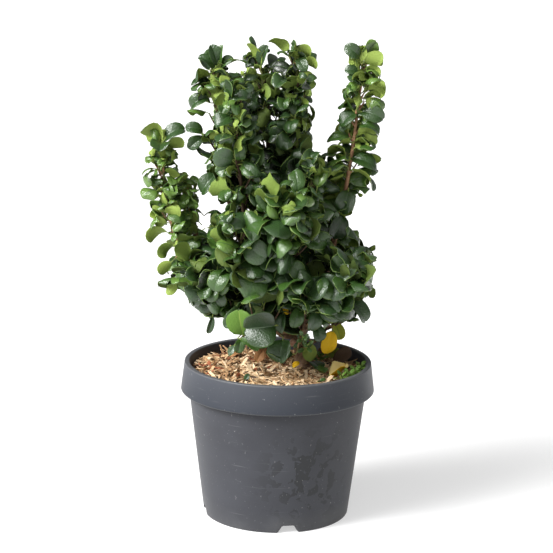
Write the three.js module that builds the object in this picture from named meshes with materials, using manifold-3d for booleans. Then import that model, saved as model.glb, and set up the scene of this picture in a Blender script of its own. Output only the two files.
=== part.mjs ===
// Potted japanese privet of the round-leaved kind: a grey nursery pot with a skirted collar, soil and
// mulch in it, a short forked trunk, tapering boughs, and the leafy masses that the boughs carry.
// Millimetres, +Z up. The origin is on the pot's axis, in the plane that the pot stands on.
// The plant's front faces -Y, and +X is to the right of someone who looks at the front.

import * as THREE from "three";
import { mergeVertices } from "three/addons/utils/BufferGeometryUtils.js";
import Module from "manifold-3d";

const wasm = await Module();
wasm.setup();

// Fits
const CLEARANCE = 0.3;
const MERGE_DISTANCE = 1e-4;

// Pot
const POT_HEIGHT = 210;
const POT_FOOT_RADIUS = 97.8;
const POT_WAIST_RADIUS = 119.2;
const POT_WALL = 2.6;
const POT_SIDES = 36;
const COLLAR_HEIGHT = 39;
const COLLAR_FOOT_RADIUS = 130;
const COLLAR_TOP_RADIUS = 125.5;
const COLLAR_ROOF = 7;
const RIM_WIDTH = 7;
const RIM_ROUND = 1.4;

// Underside of the pot: a flat pad, a raised drain channel round it and a notched foot ring
const PAD_RADIUS = 58;
const CHANNEL_HEIGHT = 10;
const CHANNEL_SLOPE = 3;
const FOOT_RING_WIDTH = 5.4;
const NOTCH_COUNT = 4;
const NOTCH_FIRST_TURN = THREE.MathUtils.degToRad(10);
const NOTCH_TOP_WIDTH = 16;
const NOTCH_FOOT_WIDTH = 28;
const NOTCH_OVERCUT = 1;
const NOTCH_REACH = 10.8;
const FLOOR_STEP = 1;

// Filling of the pot
const MULCH_TOP = 196;
const MULCH_DEPTH = 18;
const MULCH_EDGE_DROP = 3;
const MULCH_FLAT_RADIUS = 62;

// Trunk
const TRUNK_FOOT = new THREE.Vector3(34, 18, MULCH_TOP + CLEARANCE);
const TRUNK_FORK = new THREE.Vector3(14, 6, 260);
const TRUNK_ROOT_RADIUS = 10;
const TRUNK_FORK_RADIUS = 7.5;
const TRUNK_FLARE = 0.45;
const TRUNK_FLARE_HEIGHT = 9;
const TRUNK_SIDES = 8;
const TRUNK_STEPS = 5;
const TRUNK_BEND_AT = 0.5;
const STUB_AT = 0.45;
const STUB_TIP = new THREE.Vector3(19, -4, 236);
const STUB_RADIUS = 5;

// Limbs in general
const LIMB_SIDES = 6;
const LIMB_STEP = 54;
const COLLAR_STAND = 2;
const COLLAR_SWELL = 1.25;
const LIMB_SWEEP = 0.45;
const LIMB_DROOP = 0.25;

// Boughs. Each one leaves its parent limb at a share of that limb's length, where 1 is its tip,
// and ends at its own tip, where a mass of leaves begins. Radii are those at its root and its tip.
// Its node has the row's name with _bough added.
const BOUGHS = [
  { name: "leader", parent: "trunk", at: 1, tip: [-18, 14, 428], radii: [7.5, 3.6] },
  { name: "left", parent: "trunk", at: 0.72, tip: [-104, 2, 326], radii: [5.6, 3.2] },
  { name: "right", parent: "trunk", at: 0.62, tip: [66, 4, 345], radii: [5.6, 3.4] },
  { name: "front_low", parent: "trunk", at: 0.7, tip: [-4, -28, 258], radii: [3.2, 2.4] },
  { name: "front_right", parent: "trunk", at: 0.6, tip: [32, -30, 262], radii: [3.2, 2.4] },
  { name: "base_right", parent: "trunk", at: 0.44, tip: [58, 8, 244], radii: [3, 2.2] },
  { name: "back_low", parent: "trunk", at: 0.74, tip: [0, 54, 286], radii: [3.6, 2.6] },
  { name: "back_base", parent: "trunk", at: 0.54, tip: [50, 56, 268], radii: [3.2, 2.4] },
  { name: "left_base", parent: "left", at: 0.26, tip: [-48, -18, 268], radii: [3, 2.2] },
  { name: "left_low", parent: "left", at: 0.5, tip: [-78, -28, 300], radii: [3, 2.4] },
  { name: "back_side", parent: "left", at: 0.44, tip: [-66, 48, 322], radii: [3.2, 2.4] },
  { name: "left_middle", parent: "left", at: 0.64, tip: [-78, -6, 346], radii: [2.8, 2.2] },
  { name: "left_inner", parent: "left", at: 0.82, tip: [-108, 20, 356], radii: [2.8, 2.2] },
  { name: "front_left", parent: "leader", at: 0.16, tip: [-34, -40, 318], radii: [3.8, 2.8] },
  { name: "front_centre", parent: "leader", at: 0.24, tip: [4, -46, 336], radii: [3.8, 2.8] },
  { name: "back_centre", parent: "leader", at: 0.28, tip: [4, 58, 350], radii: [3.8, 2.8] },
  { name: "centre_left", parent: "leader", at: 0.32, tip: [-60, 0, 398], radii: [4.2, 3] },
  { name: "centre_right", parent: "leader", at: 0.4, tip: [10, -4, 418], radii: [4, 3] },
  { name: "back_left", parent: "leader", at: 0.5, tip: [-46, 58, 400], radii: [3.6, 2.8] },
  { name: "centre_front", parent: "centre_left", at: 0.4, tip: [-46, -42, 408], radii: [3.2, 2.6] },
  { name: "shoulder", parent: "right", at: 0.5, tip: [36, -26, 352], radii: [3.4, 2.6] },
  { name: "right_low", parent: "right", at: 0.32, tip: [62, -38, 306], radii: [3.2, 2.4] },
  { name: "right_back", parent: "right", at: 0.66, tip: [82, 36, 330], radii: [3, 2.2] },
  { name: "back_right", parent: "right", at: 0.42, tip: [48, 56, 346], radii: [3.2, 2.4] },
];

// Masses of leaves. Each one has a stem that grows on from its bough's tip to a tip of its own,
// keeps within its reach of that stem, and bears leaves of the given length on side twigs.
// Its node has the row's name with _leaves added.
const MASSES = [
  { name: "left_outer", bough: "left", tip: [-154, 0, 500], reach: 44, leaf: 50, twigs: 5 },
  { name: "right_tall", bough: "right", tip: [104, 0, 618], reach: 44, leaf: 52, twigs: 6 },
  { name: "centre", bough: "leader", tip: [-29, 20, 608], reach: 54, leaf: 52, twigs: 4 },
  { name: "centre_left", bough: "centre_left", tip: [-84, 0, 602], reach: 53, leaf: 54, twigs: 5 },
  { name: "centre_right", bough: "centre_right", tip: [18, -8, 616], reach: 58, leaf: 54, twigs: 5 },
  { name: "centre_front", bough: "centre_front", tip: [-60, -62, 588], reach: 60, leaf: 54, twigs: 4 },
  { name: "shoulder", bough: "shoulder", tip: [42, -42, 478], reach: 62, leaf: 54, twigs: 4 },
  { name: "left_inner", bough: "left_inner", tip: [-128, 14, 446], reach: 40, leaf: 42, twigs: 3 },
  { name: "left_middle", bough: "left_middle", tip: [-74, -14, 380], reach: 46, leaf: 42, twigs: 3 },
  { name: "left_low", bough: "left_low", tip: [-122, -40, 326], reach: 53, leaf: 54, twigs: 4 },
  { name: "left_base", bough: "left_base", tip: [-76, -26, 284], reach: 56, leaf: 48, twigs: 2 },
  { name: "right_low", bough: "right_low", tip: [94, -74, 342], reach: 60, leaf: 56, twigs: 4 },
  { name: "right_back", bough: "right_back", tip: [108, 44, 336], reach: 47, leaf: 52, twigs: 3 },
  { name: "front_centre", bough: "front_centre", tip: [8, -96, 436], reach: 70, leaf: 58, twigs: 5 },
  { name: "front_left", bough: "front_left", tip: [-48, -94, 412], reach: 64, leaf: 58, twigs: 5 },
  { name: "front_low", bough: "front_low", tip: [-34, -80, 286], reach: 60, leaf: 60, twigs: 3 },
  { name: "front_right", bough: "front_right", tip: [38, -84, 318], reach: 60, leaf: 58, twigs: 4 },
  { name: "base_right", bough: "base_right", tip: [68, -18, 272], reach: 48, leaf: 46, twigs: 3 },
  { name: "back_left", bough: "back_left", tip: [-54, 86, 574], reach: 64, leaf: 56, twigs: 5 },
  { name: "back_centre", bough: "back_centre", tip: [14, 92, 540], reach: 66, leaf: 56, twigs: 5 },
  { name: "back_right", bough: "back_right", tip: [66, 98, 440], reach: 64, leaf: 56, twigs: 4 },
  { name: "back_side", bough: "back_side", tip: [-96, 84, 372], reach: 58, leaf: 56, twigs: 4 },
  { name: "back_low", bough: "back_low", tip: [-34, 106, 350], reach: 62, leaf: 58, twigs: 4 },
  { name: "back_base", bough: "back_base", tip: [66, 100, 300], reach: 58, leaf: 56, twigs: 3 },
];

// Growth of a mass
const STEM_TIP_RADIUS = 2;
const STEM_SIDES = 4;
const STEM_TURN = THREE.MathUtils.degToRad(40);
const TWIG_SIDES = 3;
const TWIG_ROOT_RADIUS = 2.5;
const TWIG_TIP_RADIUS = 2.1;
const TWIG_FIRST = 0.12;
const TWIG_LAST = 0.86;
const TWIG_TURN = THREE.MathUtils.degToRad(137.5);
const TWIG_LEAN = THREE.MathUtils.degToRad(52);
const TWIG_TOP_SHARE = 0.6;
const TWIG_SHORTEST = 0.85;
const TWIG_LONGEST = 1.15;
const TWIG_LEAF_ROOM = 0.6;
const TWIG_RISE = 0.2;
const TWIG_JITTER = 0.7;
const INTERNODE = 39;
const PAIR_FIRST = 0.1;
const PAIR_START = 0.4;
const LEAF_LEAN_LOW = THREE.MathUtils.degToRad(72);
const LEAF_LEAN_HIGH = THREE.MathUtils.degToRad(46);
const LEAF_LEAN_APEX = THREE.MathUtils.degToRad(24);
const LEAF_FACE_BACK = 0.2;
const LEAF_TURN_JITTER = 0.5;
const LEAF_SIZE_JITTER = 0.16;
const LEAF_TIP_SHARE = 0.74;
const LEAF_TRIES = 6;
const LEAF_TRY_TURN = 0.45;
const LEAF_TRY_SHRINK = 0.07;
const SPACE_MARGIN = 0.015;
const FIRST_SEED = 11;
const LEAF_SEED_STEP = 1000;

// Shape of a leaf: eight faces from a root point to a blunt end, with drooping sides and end.
// A corner is its share of the length, of the half width, and of the length as drop.
const LEAF_WIDTH = 0.86;
const LEAF_CORNERS = {
  root: [0, 0, 0],
  ridge: [0.13, 0, -0.035],
  leftSide: [0.54, -1, 0.14],
  rightSide: [0.54, 1, 0.14],
  leftEnd: [0.97, -0.52, 0.29],
  rightEnd: [0.97, 0.52, 0.29],
};
const LEAF_FACES = [
  ["root", "ridge", "leftSide"],
  ["root", "rightSide", "ridge"],
  ["ridge", "leftEnd", "leftSide"],
  ["ridge", "rightEnd", "leftEnd"],
  ["ridge", "rightSide", "rightEnd"],
  ["root", "leftSide", "rightSide"],
  ["leftSide", "rightEnd", "rightSide"],
  ["leftSide", "leftEnd", "rightEnd"],
];
const ROOT_DEPTH = 1;
const APEX_INSET = 2;
const BLADE_START = 0.3;
const BLADE_GROWTH = 1.06;
const BLADE_SWELL = 0.02;

// Materials
const POT_PLASTIC = new THREE.MeshStandardMaterial({ color: 0x4b4f55, roughness: 0.5, metalness: 0 });
const SOIL = new THREE.MeshStandardMaterial({ color: 0x3a2a1e, roughness: 0.95, metalness: 0 });
const WOOD_CHIPS = new THREE.MeshStandardMaterial({ color: 0xb99a72, roughness: 0.9, metalness: 0 });
const BARK = new THREE.MeshStandardMaterial({ color: 0x6b4a34, roughness: 0.85, metalness: 0 });
const LEAF_GREEN = new THREE.MeshStandardMaterial({ color: 0x2f4f2a, roughness: 0.35, metalness: 0 });

const UP = new THREE.Vector3(0, 0, 1);
const lerp = THREE.MathUtils.lerp;

// Random numbers from 0 to 1, the same in every run
function seededRandom(seed) {
  let state = seed >>> 0;
  return () => {
    state = (state + 0x6d2b79f5) >>> 0;
    let mixed = Math.imul(state ^ (state >>> 15), state | 1);
    mixed ^= mixed + Math.imul(mixed ^ (mixed >>> 7), mixed | 61);
    return ((mixed ^ (mixed >>> 14)) >>> 0) / 4294967296;
  };
}

// A closed geometry as a solid, with its shared vertices merged and its empty faces left out
function solidOf(geometry) {
  const bare = geometry.clone();
  bare.deleteAttribute("normal");
  bare.deleteAttribute("uv");
  const merged = mergeVertices(bare, MERGE_DISTANCE);
  const corners = merged.index.array;
  const faces = [];
  for (let i = 0; i < corners.length; i += 3) {
    const [a, b, c] = corners.slice(i, i + 3);
    if (a !== b && b !== c && c !== a) {
      faces.push(a, b, c);
    }
  }
  const vertProperties = new Float32Array(merged.attributes.position.array);
  const mesh = new wasm.Mesh({ numProp: 3, vertProperties, triVerts: new Uint32Array(faces) });
  return new wasm.Manifold(mesh);
}

function geometryOf(solid) {
  const mesh = solid.getMesh();
  const geometry = new THREE.BufferGeometry();
  geometry.setAttribute("position", new THREE.BufferAttribute(new Float32Array(mesh.vertProperties), 3));
  geometry.setIndex(new THREE.BufferAttribute(new Uint32Array(mesh.triVerts), 1));
  geometry.computeVertexNormals();
  return geometry;
}

function joined(solids) {
  return solids.reduce((whole, solid) => whole.add(solid));
}

// A turned piece from the outline of its half section, written as radius and height
function turned(outline) {
  const points = outline.map(([radius, height]) => new THREE.Vector2(radius, height));
  const geometry = new THREE.LatheGeometry(points, POT_SIDES);
  geometry.rotateX(Math.PI / 2);
  return solidOf(geometry);
}

// Pot
const waistHeight = POT_HEIGHT - COLLAR_HEIGHT;
const bodySlope = (POT_WAIST_RADIUS - POT_FOOT_RADIUS) / waistHeight;
const wellRadius = POT_WAIST_RADIUS - POT_WALL;
const floorHeight = CHANNEL_HEIGHT + POT_WALL;
const floorRadius = POT_FOOT_RADIUS + bodySlope * floorHeight - POT_WALL;
const rimInnerRadius = COLLAR_TOP_RADIUS - RIM_WIDTH;

function notch(turn) {
  const halfFoot = NOTCH_FOOT_WIDTH / 2;
  const halfTop = NOTCH_TOP_WIDTH / 2;
  const outline = new THREE.Shape([
    new THREE.Vector2(-halfFoot, -NOTCH_OVERCUT),
    new THREE.Vector2(halfFoot, -NOTCH_OVERCUT),
    new THREE.Vector2(halfTop, CHANNEL_HEIGHT),
    new THREE.Vector2(-halfTop, CHANNEL_HEIGHT),
  ]);
  const depth = 2 * NOTCH_REACH;
  const geometry = new THREE.ExtrudeGeometry(outline, { depth, bevelEnabled: false });
  geometry.rotateX(Math.PI / 2);
  geometry.translate(0, NOTCH_REACH - POT_FOOT_RADIUS, 0);
  geometry.rotateZ(turn);
  return solidOf(geometry);
}

function pot() {
  const skirtTop = POT_HEIGHT - COLLAR_ROOF;
  const skirtSlope = (COLLAR_FOOT_RADIUS - COLLAR_TOP_RADIUS) / COLLAR_HEIGHT;
  const skirtTopInner = COLLAR_TOP_RADIUS + skirtSlope * COLLAR_ROOF - POT_WALL;
  const channelOuter = POT_FOOT_RADIUS - FOOT_RING_WIDTH;
  let body = turned([
    [0, 0],
    [PAD_RADIUS, 0],
    [PAD_RADIUS + CHANNEL_SLOPE, CHANNEL_HEIGHT],
    [channelOuter - CHANNEL_SLOPE, CHANNEL_HEIGHT],
    [channelOuter, 0],
    [POT_FOOT_RADIUS - RIM_ROUND, 0],
    [POT_FOOT_RADIUS + bodySlope * RIM_ROUND, RIM_ROUND],
    [POT_WAIST_RADIUS, waistHeight],
    [POT_WAIST_RADIUS, skirtTop],
    [skirtTopInner, skirtTop],
    [COLLAR_FOOT_RADIUS - POT_WALL, waistHeight],
    [COLLAR_FOOT_RADIUS - RIM_ROUND, waistHeight],
    [COLLAR_FOOT_RADIUS, waistHeight + RIM_ROUND],
    [COLLAR_TOP_RADIUS, POT_HEIGHT - RIM_ROUND],
    [COLLAR_TOP_RADIUS - RIM_ROUND, POT_HEIGHT],
    [rimInnerRadius + RIM_ROUND, POT_HEIGHT],
    [rimInnerRadius, POT_HEIGHT - RIM_ROUND],
    [wellRadius, skirtTop],
    [wellRadius, waistHeight],
    [floorRadius, floorHeight],
    [PAD_RADIUS + CHANNEL_SLOPE + FLOOR_STEP, floorHeight],
    [PAD_RADIUS + FLOOR_STEP, POT_WALL],
    [0, POT_WALL],
  ]);
  for (let k = 0; k < NOTCH_COUNT; k += 1) {
    body = body.subtract(notch(NOTCH_FIRST_TURN + (k * 2 * Math.PI) / NOTCH_COUNT));
  }
  return body;
}

// Soil and mulch, each clear of the pot and of each other
const mulchFoot = MULCH_TOP - MULCH_DEPTH;

function soil() {
  const topHeight = mulchFoot - CLEARANCE;
  return turned([
    [0, POT_WALL + CLEARANCE],
    [PAD_RADIUS, POT_WALL + CLEARANCE],
    [PAD_RADIUS + CHANNEL_SLOPE, floorHeight + CLEARANCE],
    [floorRadius - CLEARANCE, floorHeight + CLEARANCE],
    [wellRadius - CLEARANCE, waistHeight],
    [wellRadius - CLEARANCE, topHeight],
    [0, topHeight],
  ]);
}

function mulch() {
  return turned([
    [0, mulchFoot],
    [wellRadius - CLEARANCE, mulchFoot],
    [wellRadius - CLEARANCE, MULCH_TOP - MULCH_EDGE_DROP],
    [MULCH_FLAT_RADIUS, MULCH_TOP],
    [0, MULCH_TOP],
  ]);
}

// A limb round a curve, with a radius for each share of its length
function limbSolid(limb) {
  const { curve, radiusAt, sides, steps } = limb;
  const geometry = new THREE.CylinderGeometry(1, 1, 1, sides, steps);
  const frames = curve.computeFrenetFrames(steps, false);
  const position = geometry.attributes.position;
  const place = new THREE.Vector3();
  for (let i = 0; i < position.count; i += 1) {
    const share = position.getY(i) + 0.5;
    const ring = Math.round(share * steps);
    const radius = radiusAt(share);
    place.copy(limb.centres[ring]);
    place.addScaledVector(frames.normals[ring], radius * position.getX(i));
    place.addScaledVector(frames.binormals[ring], -radius * position.getZ(i));
    position.setXYZ(i, place.x, place.y, place.z);
  }
  return solidOf(geometry);
}

// A straight spur on a limb: it starts at a point on the limb's axis and has its full girth at a
// distance from there, outside the limb's skin
function spurSolid(from, to, stand, rootRadius, tipRadius, sides) {
  const heading = to.clone().sub(from).normalize();
  const across = perpendicular(heading, 0);
  const beside = heading.clone().cross(across);
  const geometry = new THREE.CylinderGeometry(tipRadius, rootRadius, 1, sides, 1);
  const position = geometry.attributes.position;
  const place = new THREE.Vector3();
  for (let i = 0; i < position.count; i += 1) {
    const x = position.getX(i);
    const z = position.getZ(i);
    const atTip = position.getY(i) > 0;
    const onAxis = Math.hypot(x, z) < 0.5 * tipRadius;
    place.copy(atTip ? to : from);
    place.addScaledVector(heading, atTip || onAxis ? 0 : stand);
    place.addScaledVector(across, x);
    place.addScaledVector(beside, -z);
    position.setXYZ(i, place.x, place.y, place.z);
  }
  return solidOf(geometry);
}

// How far along a side shoot its girth is clear of the limb that bears it
function clearOfSkin(limbRadius, shootRadius, slant) {
  return (limbRadius + shootRadius * Math.abs(Math.cos(slant))) / Math.sin(slant);
}

function perpendicular(tangent, turn) {
  const side = new THREE.Vector3(1, 0, 0).addScaledVector(tangent, -tangent.x).normalize();
  return side.applyAxisAngle(tangent, turn);
}

function taper(root, tip) {
  return (share) => lerp(root, tip, share);
}

// A limb's curve with its girth, and the points that its straight lengths run between
function limbAlong(curve, radiusAt, sides) {
  const steps = Math.max(2, Math.round(curve.getLength() / LIMB_STEP));
  return { curve, radiusAt, sides, steps, centres: curve.getSpacedPoints(steps), spurs: [] };
}

function pointOn(limb, share) {
  const place = share * limb.steps;
  const index = Math.min(Math.floor(place), limb.steps - 1);
  return limb.centres[index].clone().lerp(limb.centres[index + 1], place - index);
}

// The curve of a limb that sets out along a heading and bends to its tip
function limbCurve(root, heading, tip) {
  const bend = root.clone().addScaledVector(heading, LIMB_SWEEP * root.distanceTo(tip));
  return new THREE.QuadraticBezierCurve3(root, bend, tip);
}

// Trunk: it rises upright from its flat cut, flares at the root and leans to its fork.
// A stub is left at its front where a shoot was cut off.
function trunkLimb() {
  const bend = new THREE.Vector3(TRUNK_FOOT.x, TRUNK_FOOT.y, lerp(TRUNK_FOOT.z, TRUNK_FORK.z, TRUNK_BEND_AT));
  const curve = new THREE.QuadraticBezierCurve3(TRUNK_FOOT, bend, TRUNK_FORK);
  const height = curve.getLength();
  const stem = taper(TRUNK_ROOT_RADIUS, TRUNK_FORK_RADIUS);
  const radiusAt = (share) =>
    stem(share) * (1 + TRUNK_FLARE * Math.exp((-share * height) / TRUNK_FLARE_HEIGHT));
  const limb = { curve, radiusAt, sides: TRUNK_SIDES, steps: TRUNK_STEPS, spurs: [] };
  limb.centres = curve.getSpacedPoints(TRUNK_STEPS);
  const stubRoot = pointOn(limb, STUB_AT);
  const skin = radiusAt(STUB_AT) + COLLAR_STAND;
  limb.spurs.push(spurSolid(stubRoot, STUB_TIP, skin, STUB_RADIUS * COLLAR_SWELL, STUB_RADIUS, LIMB_SIDES));
  return limb;
}

// A bough that grows on from its parent's tip, or from a collar at its parent's side
function boughLimb(row, parent) {
  const tip = new THREE.Vector3(...row.tip);
  const [rootRadius, tipRadius] = row.radii;
  const axis = pointOn(parent, row.at);
  const along = parent.curve.getTangentAt(row.at);
  let heading = along;
  let root = axis;
  if (row.at < 1) {
    heading = tip.clone().sub(axis).normalize();
    heading.addScaledVector(UP, -LIMB_DROOP).normalize();
    const skin = clearOfSkin(parent.radiusAt(row.at), rootRadius, heading.angleTo(along));
    root = axis.clone().addScaledVector(heading, skin + COLLAR_STAND);
    const swollen = rootRadius * COLLAR_SWELL;
    parent.spurs.push(spurSolid(axis, root, skin, swollen, rootRadius, LIMB_SIDES));
  }
  const start = root.clone().addScaledVector(heading, CLEARANCE);
  return limbAlong(limbCurve(start, heading, tip), taper(rootRadius, tipRadius), LIMB_SIDES);
}

const limbs = new Map([["trunk", trunkLimb()]]);
for (const row of BOUGHS) {
  limbs.set(row.name, boughLimb(row, limbs.get(row.parent)));
}

// Stems of the masses, each one growing on from its bough
for (const [index, mass] of MASSES.entries()) {
  const bough = limbs.get(mass.bough);
  const heading = bough.curve.getTangentAt(1);
  const start = pointOn(bough, 1).addScaledVector(heading, CLEARANCE);
  const curve = limbCurve(start, heading, new THREE.Vector3(...mass.tip));
  mass.seed = FIRST_SEED + index;
  mass.stem = limbAlong(curve, taper(bough.radiusAt(1), STEM_TIP_RADIUS), STEM_SIDES);
  mass.stem.solid = limbSolid(mass.stem);
  mass.stem.turn = STEM_TURN;
}

// How far a point is from a mass's stem, as a share of the mass's reach
function reachShare(point, mass) {
  const line = new THREE.Line3();
  const nearest = new THREE.Vector3();
  let least = Infinity;
  for (let i = 1; i < mass.stem.centres.length; i += 1) {
    line.set(mass.stem.centres[i - 1], mass.stem.centres[i]);
    line.closestPointToPoint(point, true, nearest);
    least = Math.min(least, nearest.distanceTo(point));
  }
  return least / mass.reach;
}

// A mass's own space is within its reach and relatively nearer its stem than any other stem
function inOwnSpace(point, mass) {
  const own = reachShare(point, mass);
  if (own > 1) {
    return false;
  }
  return MASSES.every((other) => other === mass || own + SPACE_MARGIN < reachShare(point, other));
}

// The frame of a leaf: along its midrib, across it, and up from its face
function leafFrame(tangent, radial, lean) {
  const along = tangent.clone().multiplyScalar(Math.cos(lean)).addScaledVector(radial, Math.sin(lean));
  const face = tangent.clone().add(UP).addScaledVector(radial, -LEAF_FACE_BACK);
  face.addScaledVector(along, -face.dot(along)).normalize();
  const across = along.clone().cross(face);
  return { along, across, face };
}

// One leaf from its root point, or only its blade beyond a share of its length, swollen for a test
function leafGeometry(root, frame, length, start, growth, swell) {
  const names = Object.keys(LEAF_CORNERS);
  const places = names.map((name) => {
    const [share, side, drop] = LEAF_CORNERS[name];
    const raised = name === "ridge" ? swell - drop : -drop;
    const place = root.clone().addScaledVector(frame.along, length * growth * Math.max(share, start));
    place.addScaledVector(frame.across, 0.5 * LEAF_WIDTH * length * growth * side);
    return place.addScaledVector(frame.face, length * raised);
  });
  const geometry = new THREE.BufferGeometry().setFromPoints(places);
  geometry.setIndex(LEAF_FACES.flat().map((name) => names.indexOf(name)));
  return geometry;
}

function boxOf(solid) {
  const { min, max } = solid.boundingBox();
  return new THREE.Box3(new THREE.Vector3(...min), new THREE.Vector3(...max));
}

function withBox(solid) {
  return { solid, box: boxOf(solid) };
}

function touchesAny(solid, others) {
  const box = boxOf(solid);
  return others.some((other) => box.intersectsBox(other.box) && !solid.intersect(other.solid).isEmpty());
}

// The axes that bear leaves: the stem first, then the side twigs that fit into the mass's space
function growAxes(mass, taken) {
  const random = seededRandom(mass.seed);
  const axes = [mass.stem];
  for (let k = 0; k < mass.twigs; k += 1) {
    const rank = (k + 0.5) / mass.twigs;
    const at = lerp(TWIG_FIRST, TWIG_LAST, rank);
    const turn = k * TWIG_TURN + TWIG_JITTER * (random() - 0.5);
    const room = mass.reach - TWIG_LEAF_ROOM * mass.leaf;
    const shrink = lerp(1, TWIG_TOP_SHARE, rank) * lerp(TWIG_SHORTEST, TWIG_LONGEST, random());
    const tangent = mass.stem.curve.getTangentAt(at);
    const heading = tangent.clone().multiplyScalar(Math.cos(TWIG_LEAN));
    heading.addScaledVector(perpendicular(tangent, turn), Math.sin(TWIG_LEAN));
    heading.addScaledVector(UP, TWIG_RISE).normalize();
    const root = pointOn(mass.stem, at);
    const curve = new THREE.LineCurve3(root, root.clone().addScaledVector(heading, room * shrink));
    const skin = clearOfSkin(mass.stem.radiusAt(at), TWIG_ROOT_RADIUS, heading.angleTo(tangent));
    const twig = { curve, turn, steps: 1, centres: [curve.v1, curve.v2], sides: TWIG_SIDES };
    twig.radiusAt = taper(TWIG_ROOT_RADIUS, TWIG_TIP_RADIUS);
    twig.solid = spurSolid(curve.v1, curve.v2, skin, TWIG_ROOT_RADIUS, TWIG_TIP_RADIUS, TWIG_SIDES);
    twig.bare = skin / curve.getLength();
    const fits = [0.5, 1].every((share) => inOwnSpace(pointOn(twig, share), mass));
    if (fits && !touchesAny(twig.solid, taken)) {
      axes.push(twig);
    }
  }
  return axes;
}

// The places of leaves on one axis: crosswise pairs, and an upright pair at the tip
function leafPlaces(axis) {
  const places = [];
  const length = axis.curve.getLength();
  const first = axis.bare ?? PAIR_FIRST;
  const pairs = Math.max(1, Math.round((length * (1 - first)) / INTERNODE));
  const apex = 1 - APEX_INSET / length;
  for (let k = 0; k <= pairs; k += 1) {
    const at = lerp(first, apex, Math.min(1, (k + PAIR_START) / pairs));
    const lean = k === pairs ? LEAF_LEAN_APEX : lerp(LEAF_LEAN_LOW, LEAF_LEAN_HIGH, at);
    for (const half of [0, Math.PI]) {
      places.push({ at, lean, turn: axis.turn + (k * Math.PI) / 2 + half });
    }
  }
  return places;
}

// The first try at a leaf that keeps to the mass's space and touches nothing, or nothing at all
function growLeaf(mass, axis, place, size, near) {
  const tangent = axis.curve.getTangentAt(place.at);
  const root = pointOn(axis, place.at);
  const flat = axis.radiusAt(place.at) * Math.cos(Math.PI / axis.sides);
  for (let attempt = 0; attempt < LEAF_TRIES; attempt += 1) {
    const swing = LEAF_TRY_TURN * Math.ceil(attempt / 2) * (attempt % 2 ? 1 : -1);
    const length = mass.leaf * size * (1 - LEAF_TRY_SHRINK * attempt);
    const frame = leafFrame(tangent, perpendicular(tangent, place.turn + swing), place.lean);
    const sunk = root.clone().addScaledVector(frame.along, Math.max(0, flat - ROOT_DEPTH));
    const blade = leafGeometry(sunk, frame, length, BLADE_START, BLADE_GROWTH, BLADE_SWELL);
    const corners = blade.attributes.position;
    const corner = new THREE.Vector3();
    let fits = true;
    for (let i = 0; i < corners.count && fits; i += 1) {
      fits = inOwnSpace(corner.fromBufferAttribute(corners, i), mass);
    }
    if (fits && !touchesAny(solidOf(blade), near)) {
      return solidOf(leafGeometry(sunk, frame, length, 0, 1, 0));
    }
  }
  return null;
}

// A mass: its stem, and the leaves and leafy twigs that fit, fused into one solid
function massSolid(mass, taken) {
  const random = seededRandom(mass.seed + LEAF_SEED_STEP);
  const otherStems = MASSES.filter((other) => other !== mass).map((other) => withBox(other.stem.solid));
  const obstacles = [...taken, ...otherStems];
  const axes = growAxes(mass, obstacles);
  const near = [...obstacles, ...axes.map((axis) => withBox(axis.solid))];
  const pieces = [];
  for (const axis of axes) {
    const leaves = [];
    for (const place of leafPlaces(axis)) {
      const size = lerp(1, LEAF_TIP_SHARE, place.at) * (1 + LEAF_SIZE_JITTER * (2 * random() - 1));
      place.turn += LEAF_TURN_JITTER * (random() - 0.5);
      const leaf = growLeaf(mass, axis, place, size, near);
      if (leaf) {
        leaves.push(leaf);
        near.push(withBox(leaf));
      }
    }
    if (leaves.length > 0 || axis === mass.stem) {
      pieces.push(axis.solid, ...leaves);
    }
  }
  return joined(pieces);
}

// Assembly
const plant = new THREE.Group();

function addNode(name, solid, material) {
  const mesh = new THREE.Mesh(geometryOf(solid), material);
  mesh.name = name;
  plant.add(mesh);
  return withBox(solid);
}

const placed = [
  addNode("pot", pot(), POT_PLASTIC),
  addNode("soil", soil(), SOIL),
  addNode("mulch", mulch(), WOOD_CHIPS),
];
for (const [name, limb] of limbs) {
  const node = name === "trunk" ? name : `${name}_bough`;
  placed.push(addNode(node, joined([limbSolid(limb), ...limb.spurs]), BARK));
}
for (const mass of MASSES) {
  placed.push(addNode(`${mass.name}_leaves`, massSolid(mass, placed), LEAF_GREEN));
}

export default plant;
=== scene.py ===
"""Looks of a potted japanese privet of the round-leaved kind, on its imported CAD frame.

Metres, +Z up. The origin is on the pot's axis, in the plane that the pot stands on. The plant's front
faces -Y, and +X is to the right of someone who looks at the front. The limbs, stems, twigs and leaves
grow by the same rule as the solids, carried on to finer twigs and to leaves of their real size.
"""

import math

import bpy
import numpy as np
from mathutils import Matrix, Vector, noise


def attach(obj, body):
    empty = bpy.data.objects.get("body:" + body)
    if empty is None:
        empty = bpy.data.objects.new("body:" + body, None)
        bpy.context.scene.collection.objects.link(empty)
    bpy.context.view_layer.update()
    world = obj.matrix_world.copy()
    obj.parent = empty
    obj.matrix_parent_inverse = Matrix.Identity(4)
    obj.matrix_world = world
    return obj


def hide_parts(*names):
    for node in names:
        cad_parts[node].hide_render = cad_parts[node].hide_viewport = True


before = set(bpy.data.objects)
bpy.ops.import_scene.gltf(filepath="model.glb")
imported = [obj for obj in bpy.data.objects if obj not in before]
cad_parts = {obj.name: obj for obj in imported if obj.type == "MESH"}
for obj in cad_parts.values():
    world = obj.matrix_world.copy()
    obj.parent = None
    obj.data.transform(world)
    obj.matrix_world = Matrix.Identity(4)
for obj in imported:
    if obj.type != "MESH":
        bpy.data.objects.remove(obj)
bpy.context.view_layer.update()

# Camera, at the photograph's place
CAMERA_PLACE = (-0.0037, -2.6917, 0.9654)
CAMERA_PITCH = math.radians(13.37)
CAMERA_ROLL = math.radians(0.895)
CAMERA_LENS = 135.3
CAMERA_SENSOR = 36.0
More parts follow.
